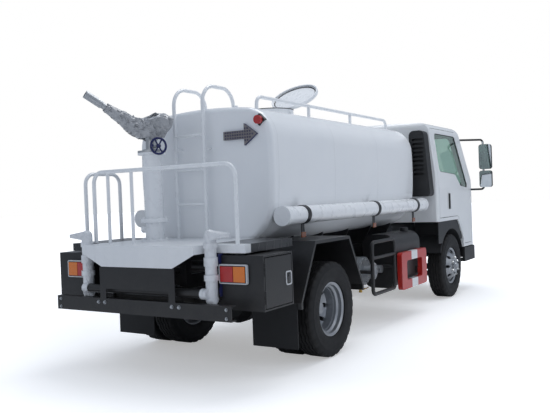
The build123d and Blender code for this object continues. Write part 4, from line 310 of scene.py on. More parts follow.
# %% Moulded plastics and rubber
def mottle(tree, shader, share, shades, roughness):
    tint = add(tree, "Mix", {
        0: share, 6: linear(shades[0]), 7: linear(shades[1])}, data_type="RGBA")
    gloss = add(tree, "MapRange", {
        "Value": share, "To Min": roughness[0], "To Max": roughness[1]})
    fill(shader, {"Base Color": tint, "Roughness": gloss})


def moulded_plastic(name, shades, roughness, pebble_mm, depth):
    material, tree, shader, place = blank(name, {"IOR": 1.52})
    pebble = add(tree, "TexVoronoi", {"Vector": place, "Scale": per_mm(pebble_mm)})
    cloud = add(tree, "TexNoise", {"Vector": place, "Scale": per_mm(160), "Detail": 4.0})
    mottle(tree, shader, cloud, shades, roughness)
    grain = add(tree, "Bump", {"Height": pebble, "Strength": depth, "Distance": 0.0006})
    fill(shader, {"Normal": grain})
    return material


black_abs = moulded_plastic("grained_black_abs", ("151618", "1E1F21"), (0.4, 0.55), 5, 0.35)
gloss_abs = moulded_plastic("smooth_black_abs", ("0E0F10", "151617"), (0.18, 0.28), 8, 0.08)
grey_abs = moulded_plastic("grained_grey_dash_plastic", ("3A3C3F", "46484B"), (0.5, 0.65), 5, 0.4)
flap_rubber = moulded_plastic("rolled_rubber_sheet", ("141416", "1F1F20"), (0.6, 0.78), 9, 0.5)
seal_rubber = moulded_plastic("extruded_rubber_seal", ("101011", "171718"), (0.5, 0.62), 6, 0.2)
print("plastics:", black_abs.name, gloss_abs.name, grey_abs.name, flap_rubber.name, seal_rubber.name)

# %% [markdown]
# Tyre rubber is carbon black in rubber: almost black and matt, greyed by dust on the tread,
# with fine rings left by the mould. The rings run round the axle, so their pattern is a wave
# of the distance from the axle line.

# %% Tyre rubber
SHOULDER_RADIUS, TREAD_RADIUS = 0.36, 0.387
RING_MM = 9


def tyre_rubber(name, axle):
    material, tree, shader, place = blank(name, {"IOR": 1.5, "Specular IOR Level": 0.35})
    centred = add(tree, "VectorMath", {0: place, 1: (axle.x, 0, axle.z)}, operation="SUBTRACT")
    flat = add(tree, "VectorMath", {0: centred, 1: (1, 0, 1)}, operation="MULTIPLY")
    radius = add(tree, "VectorMath", {0: flat}, operation="LENGTH").outputs["Value"]
    ring = add(tree, "Math", {0: radius, 1: 2 * pi * per_mm(RING_MM)}, operation="MULTIPLY")
    wave = add(tree, "Math", {0: ring}, operation="SINE")
    cloud = add(tree, "TexNoise", {
        "Vector": place, "Scale": per_mm(60), "Detail": 6.0, "Roughness": 0.7})
    worn = add(tree, "MapRange", {
        "Value": radius, "From Min": SHOULDER_RADIUS, "From Max": TREAD_RADIUS,
        "To Min": 0.0, "To Max": 0.55})
    speck = add(tree, "Math", {0: worn, 1: cloud}, operation="MULTIPLY")
    tint = add(tree, "Mix", {
        0: speck, 6: linear("121214"), 7: linear("3A3733")}, data_type="RGBA")
    gloss = add(tree, "MapRange", {"Value": cloud, "To Min": 0.52, "To Max": 0.75})
    rings = add(tree, "Bump", {"Height": wave, "Strength": 0.25, "Distance": 0.0012})
    skin = add(tree, "Bump", {
        "Height": cloud, "Strength": 0.15, "Distance": 0.002, "Normal": rings})
    fill(shader, {"Base Color": tint, "Roughness": gloss, "Normal": skin})
    return material


def middle(node):
    low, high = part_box(node)
    return (low + high) / 2


rear_axle, front_axle = middle("rear_tyres_right"), middle("front_tyre_right")
rear_rubber = tyre_rubber("vulcanised_rear_tyre_rubber", rear_axle)
front_rubber = tyre_rubber("vulcanised_front_tyre_rubber", front_axle)
print("axles at X", round(rear_axle.x, 3), round(front_axle.x, 3))

# %% [markdown]
# Bare and cast metals: forged axles and springs are dark with scale, the pump and cannon are
# sand-cast aluminium, the drain cock is turned brass and the wheel nuts are bright zinc. Cast
# skins are pebbly at about 3 mm and are drawn coarser, so that it shows. A metal keeps Blender's
# default IOR.

# %% Metals
def raw_metal(name, shades, roughness, grit_mm, depth, metal=1.0):
    material, tree, shader, place = blank(name, {"Metallic": metal})
    cloud = add(tree, "TexNoise", {
        "Vector": place, "Scale": per_mm(70), "Detail": 6.0, "Roughness": 0.68})
    grit = add(tree, "TexNoise", {"Vector": place, "Scale": per_mm(grit_mm), "Detail": 3.0})
    mottle(tree, shader, cloud, shades, roughness)
    skin = add(tree, "Bump", {"Height": grit, "Strength": depth, "Distance": 0.0015})
    fill(shader, {"Normal": skin})
    return material


forged_iron = raw_metal(
    "forged_iron_with_black_wash", ("17181A", "2A2928"), (0.5, 0.7), 8, 0.4, metal=0.3)
spring_steel = raw_metal("rolled_spring_steel", ("1B1C1E", "2B2A29"), (0.4, 0.6), 10, 0.25, metal=0.5)
cast_grey = raw_metal("sand_cast_grey_iron", ("5C5F62", "77797B"), (0.45, 0.62), 7, 0.4, metal=0.5)
cast_aluminium = raw_metal("sand_cast_aluminium", ("A9ACAF", "C3C5C7"), (0.35, 0.5), 6, 0.35)
bright_zinc = raw_metal("bright_zinc_plate", ("C9CBCC", "DADBDB"), (0.18, 0.3), 12, 0.1)
turned_brass = raw_metal("turned_brass", ("B8934A", "CBA85C"), (0.2, 0.34), 10, 0.1)
mirror_silver = raw_metal("silvered_mirror_glass", ("DDE2E6", "E6EAEC"), (0.02, 0.05), 60, 0.01)
print("metals:", forged_iron.name, cast_aluminium.name, bright_zinc.name, turned_brass.name)

# %% [markdown]
# Cab windows are toughened glass with a green body tint from its iron. It passes light, so the
# shader is pure transmission with almost no roughness; a very long ripple keeps the reflection
# from looking like a perfect plane.

# %% Window glass
green_glass, tree, shader, place = blank("green_tinted_toughened_glass", {
    "Transmission Weight": 1.0, "IOR": 1.5, "Roughness": 0.02})
ripple = add(tree, "TexNoise", {"Vector": place, "Scale": per_mm(500), "Detail": 1.0})
bent = add(tree, "Bump", {"Height": ripple, "Strength": 0.05, "Distance": 0.004})
tint = add(tree, "Mix", {0: ripple, 6: linear("A9C4BC"), 7: linear("B9D0C9")}, data_type="RGBA")
fill(shader, {"Base Color": tint, "Normal": bent})
print("glass:", green_glass.name)

# %% [markdown]
# Lamp lenses are clear coloured acrylic with rows of small prisms moulded inside, which is why
# they sparkle in a grid. Crossed waves give the prisms at 7 mm, as bump and as a colour that is
# brighter and darker in a grid: a painted sparkle. A Wave texture repeats about 3.2 times per unit
# of its scale, so the scale is divided by that. A little of the colour is given out as emission, a
# painted glow, though the lamps are not lit.

# %% Lamp lenses
WAVES_PER_SCALE = 3.2


def crossed_waves(tree, place, pitch_mm, directions):
    wave_sockets = {"Vector": place, "Scale": per_mm(pitch_mm) / WAVES_PER_SCALE}
    first, second = [
        add(tree, "TexWave", wave_sockets, bands_direction=way).outputs["Fac"]
        for way in directions]
    return add(tree, "Math", {0: first, 1: second}, operation="MULTIPLY")


def prism_lens(name, shades, glow):
    material, tree, shader, place = blank(name, {
        "IOR": 1.49, "Roughness": 0.12, "Coat Weight": 0.6, "Emission Strength": glow})
    prism = crossed_waves(tree, place, 7, ("Z", "Y"))
    # The colour follows the prisms, brighter in a grid: painted sparkle.
    tint = add(tree, "Mix", {
        0: prism, 6: linear(shades[0]), 7: linear(shades[1])}, data_type="RGBA")
    cut = add(tree, "Bump", {"Height": prism, "Strength": 0.5, "Distance": 0.002})
    # The lens colour is also given out as emission: a painted glow, as no lamp here is lit.
    fill(shader, {"Base Color": tint, "Emission Color": tint, "Normal": cut})
    return material


red_lens = prism_lens("red_acrylic_lens", ("8E0F12", "D8302C"), 0.12)
amber_lens = prism_lens("amber_acrylic_lens", ("C05A10", "F0982A"), 0.12)
clear_lens = prism_lens("clear_polycarbonate_lens", ("C4CBD1", "F2F5F7"), 0.05)
copper_lens = prism_lens("amber_reflector_acrylic", ("8A4A24", "C07A48"), 0.03)
print("lenses:", red_lens.name, amber_lens.name, clear_lens.name, copper_lens.name)

# %% [markdown]
# New parts arrive with thin polyethylene film wound round them. It is milky, wrinkled at every
# size and half glossy. Large soft folds come from low noise, sharp creases from the ridges of a
# Voronoi pattern. The low noise also sets the colour, darker in the fold hollows and paler on the
# crests: painted shade and painted light on the folds.

# %% Packing film
def packing_film(name, shades, crease_mm):
    material, tree, shader, place = blank(name, {
        "IOR": 1.51, "Coat Weight": 0.5, "Coat Roughness": 0.12, "Sheen Weight": 0.1})
    fold_height_and_shade = add(tree, "TexNoise", {
        "Vector": place, "Scale": per_mm(crease_mm * 1.4), "Detail": 3.0, "Distortion": 1.2})
    crease = add(tree, "TexVoronoi", {
        "Vector": fold_height_and_shade.outputs["Color"], "Scale": 9.0}, feature="DISTANCE_TO_EDGE")
    # The fold noise also sets the colour here, darker in the hollows and paler on the crests: painted
    # shade and painted light.
    mottle(tree, shader, fold_height_and_shade, shades, (0.18, 0.45))
    folds = add(tree, "Bump", {"Height": fold_height_and_shade, "Strength": 0.8, "Distance": 0.02})
    lines = add(tree, "Bump", {
        "Height": crease, "Strength": 0.6, "Distance": 0.006, "Normal": folds})
    fill(shader, {"Normal": lines})
    return material


grey_film = packing_film("crumpled_grey_packing_film", ("8C8E92", "C9CACC"), 70)
white_film = packing_film("tight_white_packing_film", ("DDE0E4", "F1F2F4"), 45)
print("films:", grey_film.name, white_film.name)

# %% [markdown]
# Seat cloth is a plain weave: one wave for warp, one for weft, multiplied so that each thread
# passes over the other. Threads are 1.2 mm apart on the real cloth and 6 mm here, or the weave
# would vanish behind the window.

# %% Woven seat cloth
seat_cloth, tree, shader, place = blank("woven_polyester_seat_cloth", {
    "Roughness": 0.85, "Sheen Weight": 0.4, "Sheen Roughness": 0.5})
weave = crossed_waves(tree, place, 6, ("Y", "DIAGONAL"))
tint = add(tree, "Mix", {0: weave, 6: linear("26282C"), 7: linear("4A4D53")}, data_type="RGBA")
thread = add(tree, "Bump", {"Height": weave, "Strength": 0.5, "Distance": 0.001})
fill(shader, {"Base Color": tint, "Normal": thread})
print("cloth:", seat_cloth.name)

# %% [markdown]
# Now the finishes go on the CAD pieces. Each piece gets one material, and a few get a second on
# the faces that a test picks by where they are, such as a black handle pressed into a white door.

# %% Dress the CAD pieces
def dress(material, *names):
    for name in names:
        nodes[name].data.materials.clear()
        nodes[name].data.materials.append(material)


def recolour(name, material, picked):
    mesh = nodes[name].data
    mesh.materials.append(material)
    faces = [face for face in mesh.polygons if picked(face.center, face.normal)]
    for face in faces:
        face.material_index = len(mesh.materials) - 1
    print(name, "faces in", material.name, ":", len(faces))


dress(tank_enamel, "tank_shell")
dress(white_enamel, "tank_top_fittings", "manhole_lid", "ladder", "handrails", "cannon_column",
      "hose_tubes")
dress(white_film, "rear_sprayers")
dress(cab_enamel, "cab_shell", "door_left", "door_right")
dress(black_enamel, "tool_boxes", "tool_box_door_left", "tool_box_door_right", "underrun_bar",
      "rear_fenders", "tube_straps", "fuel_tank", "battery_box", "pump_frame", "tank_subframe")
dress(frame_black, "chassis_frame")
dress(forged_iron, "rear_axle", "front_axle", "knuckle_left", "knuckle_right")
dress(spring_steel, "leaf_springs", "tie_rod")
dress(cast_grey, "drive_line")
dress(cast_aluminium, "water_pump_and_pipes", "cannon_turret", "cannon_barrel")
dress(grey_film, "cannon_wrap")
dress(flap_rubber, "mud_flaps")
dress(red_enamel, "side_guards")
dress(black_abs, "front_grille", "front_bumper", "front_arches", "mirrors", "air_intake", "lamp_housings")
dress(red_lens, "red_lenses")
dress(amber_lens, "amber_lenses")
dress(clear_lens, "headlamps")
dress(green_glass, "cab_glass", "door_glass_left", "door_glass_right")
dress(seat_cloth, "seats")
dress(grey_abs, "dashboard", "steering_wheel")
dress(silver_paint, "front_wheel_left", "front_wheel_right", "rear_wheels_left", "rear_wheels_right")
dress(rear_rubber, "rear_tyres_left", "rear_tyres_right")
dress(front_rubber, "front_tyre_left", "front_tyre_right")
print("still to dress:", [name for name, thing in nodes.items() if not any(thing.data.materials)])

# %% [markdown]
# Some CAD pieces carry a second colour. The pipes near the tail are black, the gasket on the
# manhole neck is dark rubber, the cannon's handwheel is navy, door handles are smooth black
# plastic and the small reflectors are a browner amber than the lamps.

# %% Second colours on CAD pieces
SIDES = (("left", 1), ("right", -1))
NECK_TOP, NECK_HALF, NECK_REAR, NECK_FRONT = 2.1365, 0.25, -1.2, -0.69
PIPES_BEHIND, LAMPS_BEHIND, ENGINE_BEHIND = -0.62, -2.6, 0.9
COLUMN_X, COLUMN_Y, TURRET_RADIUS = -2.36, 0.24, 0.125
MIRROR_INNER = 0.99
HANDLE_FACE, HANDLE_REAR, HANDLE_FRONT = 0.8652, 1.69, 1.73
recolour("tank_top_fittings", seal_rubber,
         lambda c, n: c.z > NECK_TOP and abs(c.y) < NECK_HALF and NECK_REAR < c.x < NECK_FRONT)
recolour("amber_lenses", copper_lens, lambda c, n: c.x > LAMPS_BEHIND)
recolour("water_pump_and_pipes", black_enamel, lambda c, n: c.x < PIPES_BEHIND)
recolour("cannon_turret", navy_enamel,
         lambda c, n: (c - Vector((COLUMN_X, COLUMN_Y, c.z))).length > TURRET_RADIUS)
recolour("drive_line", forged_iron, lambda c, n: c.x < ENGINE_BEHIND)
recolour("mirrors", mirror_silver, lambda c, n: n.x < -0.9 and abs(c.y) > MIRROR_INNER)
for side, sign in SIDES:
    recolour(f"door_{side}", gloss_abs,
             lambda c, n: abs(c.y) > HANDLE_FACE and HANDLE_REAR < c.x < HANDLE_FRONT)

# %% [markdown]
# The side guard is sprayed red and then masked off for one white band, so both colours lie on
# the same steel frame. The mask is a test on X inside the material: faces here are long, and a
# band that ends in the middle of a face cannot be picked face by face.

# %% White band on the red guard
BAND_MIDDLE, BAND_HALF = 0.38, 0.085
tree, shader, place = reopen(red_enamel)
along = add(tree, "SeparateXYZ", {0: place}).outputs["X"]
banded = add(tree, "Math", {0: along, 1: BAND_MIDDLE, 2: BAND_HALF}, operation="COMPARE")
striped = add(tree, "Mix", {
    0: banded, 6: fed_by(shader, "Base Color"), 7: linear("E4E5E6")}, data_type="RGBA")
fill(shader, {"Base Color": striped})
print("white band", 2000 * BAND_HALF, "mm wide")

# %% [markdown]
# The deck is tread plate: short raised bars that lie crosswise in turn, so a shoe grips whichever
# way it turns. Two waves at right angles, each kept to its own squares of a checker pattern, give
# the bars, at two squares to a wave. The wings in front of the rail and the deck's far left edge
# are coloured near black as painted shade, standing in for the dark that lies over them there.

# %% Tread plate deck
BAR_PITCH_MM, BAR_WAVES_PER_SCALE = 36, 3.14
WING_INNER, WING_END, WING_REAR = 0.52, 0.556, -2.6
deck_enamel = sprayed_paint(
    "white_enamel_on_tread_plate", ("F2F3F4", "E4E7EA"), (0.26, 0.4), 14, 0.05, coat=0.3)
tree, shader, place = reopen(deck_enamel)
axes = add(tree, "SeparateXYZ", {0: place}).outputs
turn = add(tree, "Mapping", {"Vector": place, "Rotation": (0, 0, pi / 4)})
squares = add(tree, "TexChecker", {"Vector": turn, "Scale": per_mm(BAR_PITCH_MM)}).outputs["Fac"]
bar_sockets = {"Vector": turn, "Scale": per_mm(2 * BAR_PITCH_MM) / BAR_WAVES_PER_SCALE}
long_bars, cross_bars = [
    add(tree, "TexWave", bar_sockets, bands_direction=way).outputs["Fac"] for way in "XY"]
bars = add(tree, "Mix", {0: squares, 2: long_bars, 3: cross_bars})
raised = add(tree, "MapRange", {"Value": bars, "From Min": 0.72, "From Max": 0.9})
tread = add(tree, "Bump", {
    "Height": raised, "Strength": 0.6, "Distance": 0.002, "Normal": fed_by(shader, "Normal")})
# Painted shade: the mask below picks the wings in front of the rail and the deck beyond WING_END on the
# left.
outward = add(tree, "Math", {0: axes["Y"]}, operation="ABSOLUTE")
wide = add(tree, "Math", {0: outward, 1: WING_INNER}, operation="GREATER_THAN")
before_rail = add(tree, "Math", {0: axes["X"], 1: WING_REAR}, operation="GREATER_THAN")
shaded_far_left = add(tree, "Math", {0: axes["Y"], 1: WING_END}, operation="GREATER_THAN")
shaded_wing = add(tree, "Math", {0: wide, 1: before_rail}, operation="MULTIPLY")
painted_shade_mask = add(tree, "Math", {0: shaded_wing, 1: shaded_far_left}, operation="MAXIMUM")
# The near-black colour laid on that mask is painted shade, not a paint of the deck.
coloured = add(tree, "Mix", {
    0: painted_shade_mask, 6: fed_by(shader, "Base Color"), 7: linear("17181B")}, data_type="RGBA")
fill(shader, {"Base Color": coloured, "Normal": tread})
dress(deck_enamel, "platform")
print("tread bars every", BAR_PITCH_MM, "mm")

# %% [markdown]
# Small turned pieces, such as nuts, caps and tyres, are all one idea: a profile carried round an
# axis. Six steps round give a hexagon nut, a hundred and more give a tyre. A helper adds such a
# turning to a bmesh, and another turns a finished bmesh into an object that rides on a body. Each
# point of a profile is a radius and a distance along the axis.

# %% Turning helper
WELD = 0.00002


def turned(bm, profile, centre, out, steps, ripple=None):
    out = Vector(out).normalized()
    side = out.orthogonal().normalized()
    other = out.cross(side)
    rings = []
    for step in range(steps):
        angle = 2 * pi * step / steps
        ray = cos(angle) * side + sin(angle) * other
        ring = []
        for radius, along in profile:
            if ripple:
                radius, along = ripple(step, radius, along)
            ring.append(bm.verts.new(Vector(centre) + radius * ray + along * out))
        rings.append(ring)
    for step in range(steps):
        first, second = rings[step], rings[(step + 1) % steps]
        for index in range(len(profile) - 1):
            bm.faces.new((first[index], second[index], second[index + 1], first[index + 1]))


def piece(name, bm, material, body, smooth_angle=35):
    bmesh.ops.remove_doubles(bm, verts=bm.verts, dist=WELD)
    bmesh.ops.dissolve_degenerate(bm, edges=bm.edges, dist=WELD)
    bmesh.ops.recalc_face_normals(bm, faces=bm.faces)
    mesh = bpy.data.meshes.new(name)
    bm.to_mesh(mesh)
    bm.free()
    mesh.materials.append(material)
    mesh.shade_smooth()
    mesh.set_sharp_from_angle(angle=radians(smooth_angle))
    made = bpy.data.objects.new(name, mesh)
    scene.collection.objects.link(made)
    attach(made, body)
    print(name, "faces:", len(mesh.polygons))
    return made


# %% [markdown]
# A truck tyre has a rounded sidewall, a rib that guards it, a square shoulder with notches and a
# tread of ribs between zigzag grooves. The CAD tyre has the outline; this mesh adds grooves and
# notches inside that outline, so the wheel still meets the ground where the CAD says.

# %% Tyres with tread
SIDEWALL = [
    (0.2055, 0.0715), (0.2197, 0.0717), (0.2278, 0.0895), (0.248, 0.0965), (0.27, 0.0992),
    (0.3, 0.0998), (0.322, 0.0993), (0.327, 0.0999), (0.334, 0.0998), (0.338, 0.0982),
    (0.355, 0.0952), (0.3715, 0.0918), (0.3805, 0.0862), (0.3862, 0.0795),
]
GROOVES, GROOVE_FLOOR = (0.049, 0.0165), 0.376
GROOVE_HALF_TOP, GROOVE_HALF_FLOOR = 0.005, 0.0032
half_profile = list(SIDEWALL)
for groove in GROOVES:
    half_profile += [
        (TREAD_RADIUS, groove + GROOVE_HALF_TOP), (GROOVE_FLOOR, groove + GROOVE_HALF_FLOOR),
        (GROOVE_FLOOR, groove - GROOVE_HALF_FLOOR), (TREAD_RADIUS, groove - GROOVE_HALF_TOP)]
tyre_profile = half_profile + [(radius, -along) for radius, along in reversed(half_profile)]
TREAD_STEPS, BLOCK_STEPS, NOTCH_STEPS = 168, 6, 2
ZIGZAG, RIB_RADIUS, RIB_HALF = 0.0034, 0.375, 0.06
SHOULDER_NOTCH, NOTCH_RADIUS, NOTCH_INNER = 0.007, 0.3715, 0.075


def tread_ripple(step, radius, along):
    turn = step % BLOCK_STEPS
    if radius > RIB_RADIUS and abs(along) < RIB_HALF:
        along += ZIGZAG * (abs(turn - BLOCK_STEPS / 2) - BLOCK_STEPS / 4)
    if NOTCH_RADIUS <= radius < TREAD_RADIUS and abs(along) > NOTCH_INNER and turn < NOTCH_STEPS:
        radius -= SHOULDER_NOTCH
    return radius, along


TWIN = 0.12
TYRES = [
    ("front_tyre_left", "front_wheel_left", front_rubber, [0]),
    ("front_tyre_right", "front_wheel_right", front_rubber, [0]),
    ("rear_tyres_left", "rear_wheels_left", rear_rubber, [-TWIN, TWIN]),
    ("rear_tyres_right", "rear_wheels_right", rear_rubber, [-TWIN, TWIN]),
]
for node, body, rubber, offsets in TYRES:
    bm = bmesh.new()
    for offset in offsets:
        hub = middle(node) + Vector((0, offset, 0))
        turned(bm, tyre_profile, hub, (0, 1, 0), TREAD_STEPS, tread_ripple)
    tyre = piece(node + "_with_tread", bm, rubber, body, 28)
    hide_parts(node)

# %% [markdown]
# Wheel nuts hold each steel wheel on its studs: a flat washer face, a hexagon with a turned
# chamfer and the end of the stud. Six sit round each hub. The rear discs are dished inwards, so
# their nuts lie deep inside the rim.

# %% Wheel nuts
def wheel_nut(bm, seat, out):
    turned(bm, [(0.021, 0.0), (0.021, 0.004), (0.0165, 0.0045)], seat, out, 20)
    turned(bm, [(0.0165, 0.004), (0.0165, 0.02), (0.014, 0.0235), (0.0095, 0.0237)], seat, out, 6)
    turned(bm, [(0.009, 0.022), (0.009, 0.03), (0.0075, 0.032), (0.0, 0.032)], seat, out, 14)


NUTS = 6
# Each end: its wheels' name, its axle, the radius of the nuts' circle and how far out they sit.
HUBS = [
    ("front", "front_wheel", front_axle, 0.098, 0.872),
    ("rear", "rear_wheels", rear_axle, 0.102, 0.722),
]
for end, wheel, axle, circle, face in HUBS:
    for side, sign in SIDES:
        bm = bmesh.new()
        for index in range(NUTS):
            angle = 2 * pi * (index + 0.5) / NUTS
            seat = (axle.x + circle * cos(angle), sign * face, axle.z + circle * sin(angle))
            wheel_nut(bm, seat, (0, sign, 0))
        nuts = piece(f"{end}_wheel_nuts_{side}", bm, bright_zinc, f"{wheel}_{side}")

# %% [markdown]
# Pressed plates, lamp frames and latch cups are all rounded rectangles at different depths. One
# helper joins a row of such outlines, each with its width, height, corner radius and level, into
# a skin. Going out and back in again gives a rim; ending on a small outline gives a lid. A second
# helper carries a round section along a row of points, for seals, rods and handles.

# %% Rounded outlines and tubes
CORNER_STEPS = 5


def pressed(bm, centre, out, upward, outlines):
    out, upward = Vector(out).normalized(), Vector(upward).normalized()
    across = upward.cross(out)
    rings = []
    for width, height, corner, level in outlines:
        ring = []
        for quarter, (a, b) in enumerate(((1, 1), (-1, 1), (-1, -1), (1, -1))):
            for step in range(CORNER_STEPS + 1):
                angle = pi / 2 * (quarter + step / CORNER_STEPS)
                x = a * (width / 2 - corner) + corner * cos(angle)
                y = b * (height / 2 - corner) + corner * sin(angle)
                ring.append(bm.verts.new(Vector(centre) + x * across + y * upward + level * out))
        rings.append(ring)
    for first, second in zip(rings, rings[1:]):
        for i in range(len(first)):
            j = (i + 1) % len(first)
            bm.faces.new((first[i], first[j], second[j], second[i]))
    bm.faces.new(rings[0])
    bm.faces.new(rings[-1])


def tube(bm, points, radius, closed=False, sides=8):
    points = [Vector(p) for p in points]
    count = len(points)
    angles = [2 * pi * k / sides for k in range(sides)]
    rings = []
    side = None
    for i, point in enumerate(points):
        before = points[i - 1] if closed or i else point
        after = points[(i + 1) % count] if closed or i < count - 1 else point
        along = (after - before).normalized()
        side = along.orthogonal() if side is None else side - side.dot(along) * along
        side = side.normalized()
        other = along.cross(side)
        rings.append([bm.verts.new(point + radius * (cos(t) * side + sin(t) * other)) for t in angles])
    for i in range(count if closed else count - 1):
        first, second = rings[i], rings[(i + 1) % count]
        for k in range(sides):
            m = (k + 1) % sides
            bm.faces.new((first[k], first[m], second[m], second[k]))
    if not closed:
        bm.faces.new(rings[0])
        bm.faces.new(rings[-1])


UP, BACK = (0, 0, 1), (-1, 0, 0)
print("helpers: pressed, tube")

# %% [markdown]
# Each tool box door is held by a paddle latch: a pale pressed cup let into the door, a dark well
# and a paddle hinged at one side that is pulled out to open. The cup is one skin that goes over
# its rim and down into the well.

# %% Paddle latches
LATCH_X, LATCH_Z, DOOR_FACE = -2.362, 0.742, 1.0
PADDLE_X, LOCK_RISE = LATCH_X - 0.006, 0.016
CUP = [
    (0.076, 0.100, 0.016, 0.0), (0.076, 0.100, 0.016, 0.004), (0.072, 0.096, 0.014, 0.006),
    (0.060, 0.084, 0.010, 0.006), (0.057, 0.081, 0.009, 0.004), (0.056, 0.080, 0.009, 0.0012),
]
WELL = [(0.0555, 0.0795, 0.009, 0.0013), (0.054, 0.078, 0.009, 0.0021), (0.03, 0.05, 0.006, 0.0018)]
PADDLE = [
    (0.034, 0.062, 0.006, 0.002), (0.034, 0.062, 0.006, 0.0052),
    (0.030, 0.058, 0.005, 0.0064), (0.012, 0.04, 0.004, 0.0068),
]
LOCK = [(0.0, 0.0068), (0.006, 0.0068), (0.0065, 0.0062), (0.0065, 0.0)]
for side, sign in SIDES:
    body = f"tool_box_door_{side}"
    face, out = sign * DOOR_FACE, (0, sign, 0)
    cup = bmesh.new()
    pressed(cup, (LATCH_X, face, LATCH_Z), out, UP, CUP)
    piece(f"latch_cup_{side}", cup, pale_enamel, body)
    well = bmesh.new()
    pressed(well, (LATCH_X, face, LATCH_Z), out, UP, WELL)
    pressed(well, (PADDLE_X, face, LATCH_Z), out, UP, PADDLE)
    turned(well, LOCK, (PADDLE_X, face, LATCH_Z + LOCK_RISE), out, 20)
    piece(f"latch_paddle_{side}", well, gloss_abs, body)

# %% [markdown]
# The tail lamps sit in a pale pressed frame, wider than the lenses, and hang on a navy bracket
# whose edge shows beside the box. The frame is a skin that rises, turns over and drops back to
# the lens.

# %% Tail lamp frames and brackets
LAMP_FACE, LAMP_Y, LAMP_Z = -2.706, 0.763, 0.798
LAMP_FRAME = [
    (0.236, 0.136, 0.012, -0.020), (0.236, 0.136, 0.012, -0.002), (0.232, 0.132, 0.010, 0.0015),
    (0.220, 0.120, 0.006, 0.0015), (0.216, 0.116, 0.004, -0.001), (0.214, 0.114, 0.004, -0.004),
]
BRACKET_X, BRACKET_Y = -2.683, 0.6475
# Each bar of the bracket: its middle's height, its own height, its thickness and how far it reaches.
BRACKET_BARS = [(0.68, 0.04, 0.013, 0.022), (0.905, 0.06, 0.013, 0.022), (0.79, 0.30, 0.011, 0.012)]
for side, sign in SIDES:
    frame_skin = bmesh.new()
    pressed(frame_skin, (LAMP_FACE, sign * LAMP_Y, LAMP_Z), BACK, UP, LAMP_FRAME)
    piece(f"tail_lamp_frame_{side}", frame_skin, pale_enamel, "chassis")
    bracket = bmesh.new()
    for z, tall, thick, reach in BRACKET_BARS:
        pressed(bracket, (BRACKET_X, sign * BRACKET_Y, z), BACK, UP, [
            (thick, tall, 0.003, -0.02), (thick, tall, 0.003, reach),
            (thick - 0.002, tall - 0.002, 0.002, reach + 0.002)])
    piece(f"tail_lamp_bracket_{side}", bracket, navy_enamel, "chassis")

# %% [markdown]
# The arrow on the tank's rear head is a traffic lamp: a flat box of arrow shape, filled with
# rows of LED domes. In daylight the domes are off and look like a grey-brown dotted skin with a
# navy edge. Each dome is a small turned lens, laid out on a grid wherever it fits in the arrow.

# %% Arrow of LED domes
arrow_low, arrow_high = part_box("arrow_lamp")
arrow_length = arrow_high.y - arrow_low.y
arrow_middle = (arrow_low.z + arrow_high.z) / 2
ARROW_PITCH, ARROW_TIP = 0.0235, 0.016
ARROW_HEAD, ARROW_HEAD_HALF, ARROW_SHAFT_HALF = 0.12, 0.087, 0.034
HEAD_EDGE, DOME_ROOM, TAIL_ROOM = 0.006, 0.009, 0.008
DOME = [(0.0078, 0.0), (0.0072, 0.003), (0.005, 0.0055), (0.0, 0.0066)]
dotted = moulded_plastic("grey_brown_lamp_plastic", ("6E6B6C", "878182"), (0.35, 0.5), 9, 0.25)
# These unlit LED domes still get a little emission from prism_lens: a painted glow.
led_lens = prism_lens("unlit_led_dome_epoxy", ("3A3A52", "5C5668"), 0.05)
dress(dotted, "arrow_lamp")
recolour("arrow_lamp", navy_enamel, lambda c, n: abs(n.x) < 0.5)


def arrow_half_height(reach):
    if reach < ARROW_HEAD - HEAD_EDGE:
        return ARROW_HEAD_HALF * reach / ARROW_HEAD - HEAD_EDGE
    return ARROW_SHAFT_HALF


domes = bmesh.new()
rows = int((arrow_high.z - arrow_low.z) / ARROW_PITCH) + 1
columns = int(arrow_length / ARROW_PITCH) + 1
count = 0
for row in range(-rows, rows + 1):
    for column in range(columns):
        rise, reach = row * ARROW_PITCH, ARROW_TIP + column * ARROW_PITCH
        if abs(rise) <= arrow_half_height(reach) - DOME_ROOM and reach < arrow_length - TAIL_ROOM:
            turned(domes, DOME, (arrow_low.x, arrow_low.y + reach, arrow_middle + rise), BACK, 12)
            count += 1
piece("arrow_led_domes", domes, led_lens, "chassis")
print("LED domes:", count)

# %% [markdown]
# The cab seats are foam under woven cloth. A cushion is full in the middle, its sides pull in
# between the corners, and sewn channels press lines into it. Here a cube is divided finely, its
# corners are rounded, and its points are then moved: out for the crown, in for the pulled sides
# and down along each channel. A cloth simulation would give softer creases than show through
# tinted glass, so it is left out.

# %% Cushion helper
CROWN, ROLL_RADIUS, CUTS = 0.018, 0.05, 26
PULL_SIDES, PULL_ENDS = 0.022, 0.018
CHANNEL_DEPTH, CHANNEL_HALF = 0.009, 0.011
SEAM_END, SEAM_SIDE, SEAM_DEPTH, SEAM_HALF = 0.86, 0.88, 0.007, 0.03
LUMPS, LUMPS_PER_METRE = 0.0015, 9


def dent(away, half):
    return max(0.0, 1 - abs(away) / half)


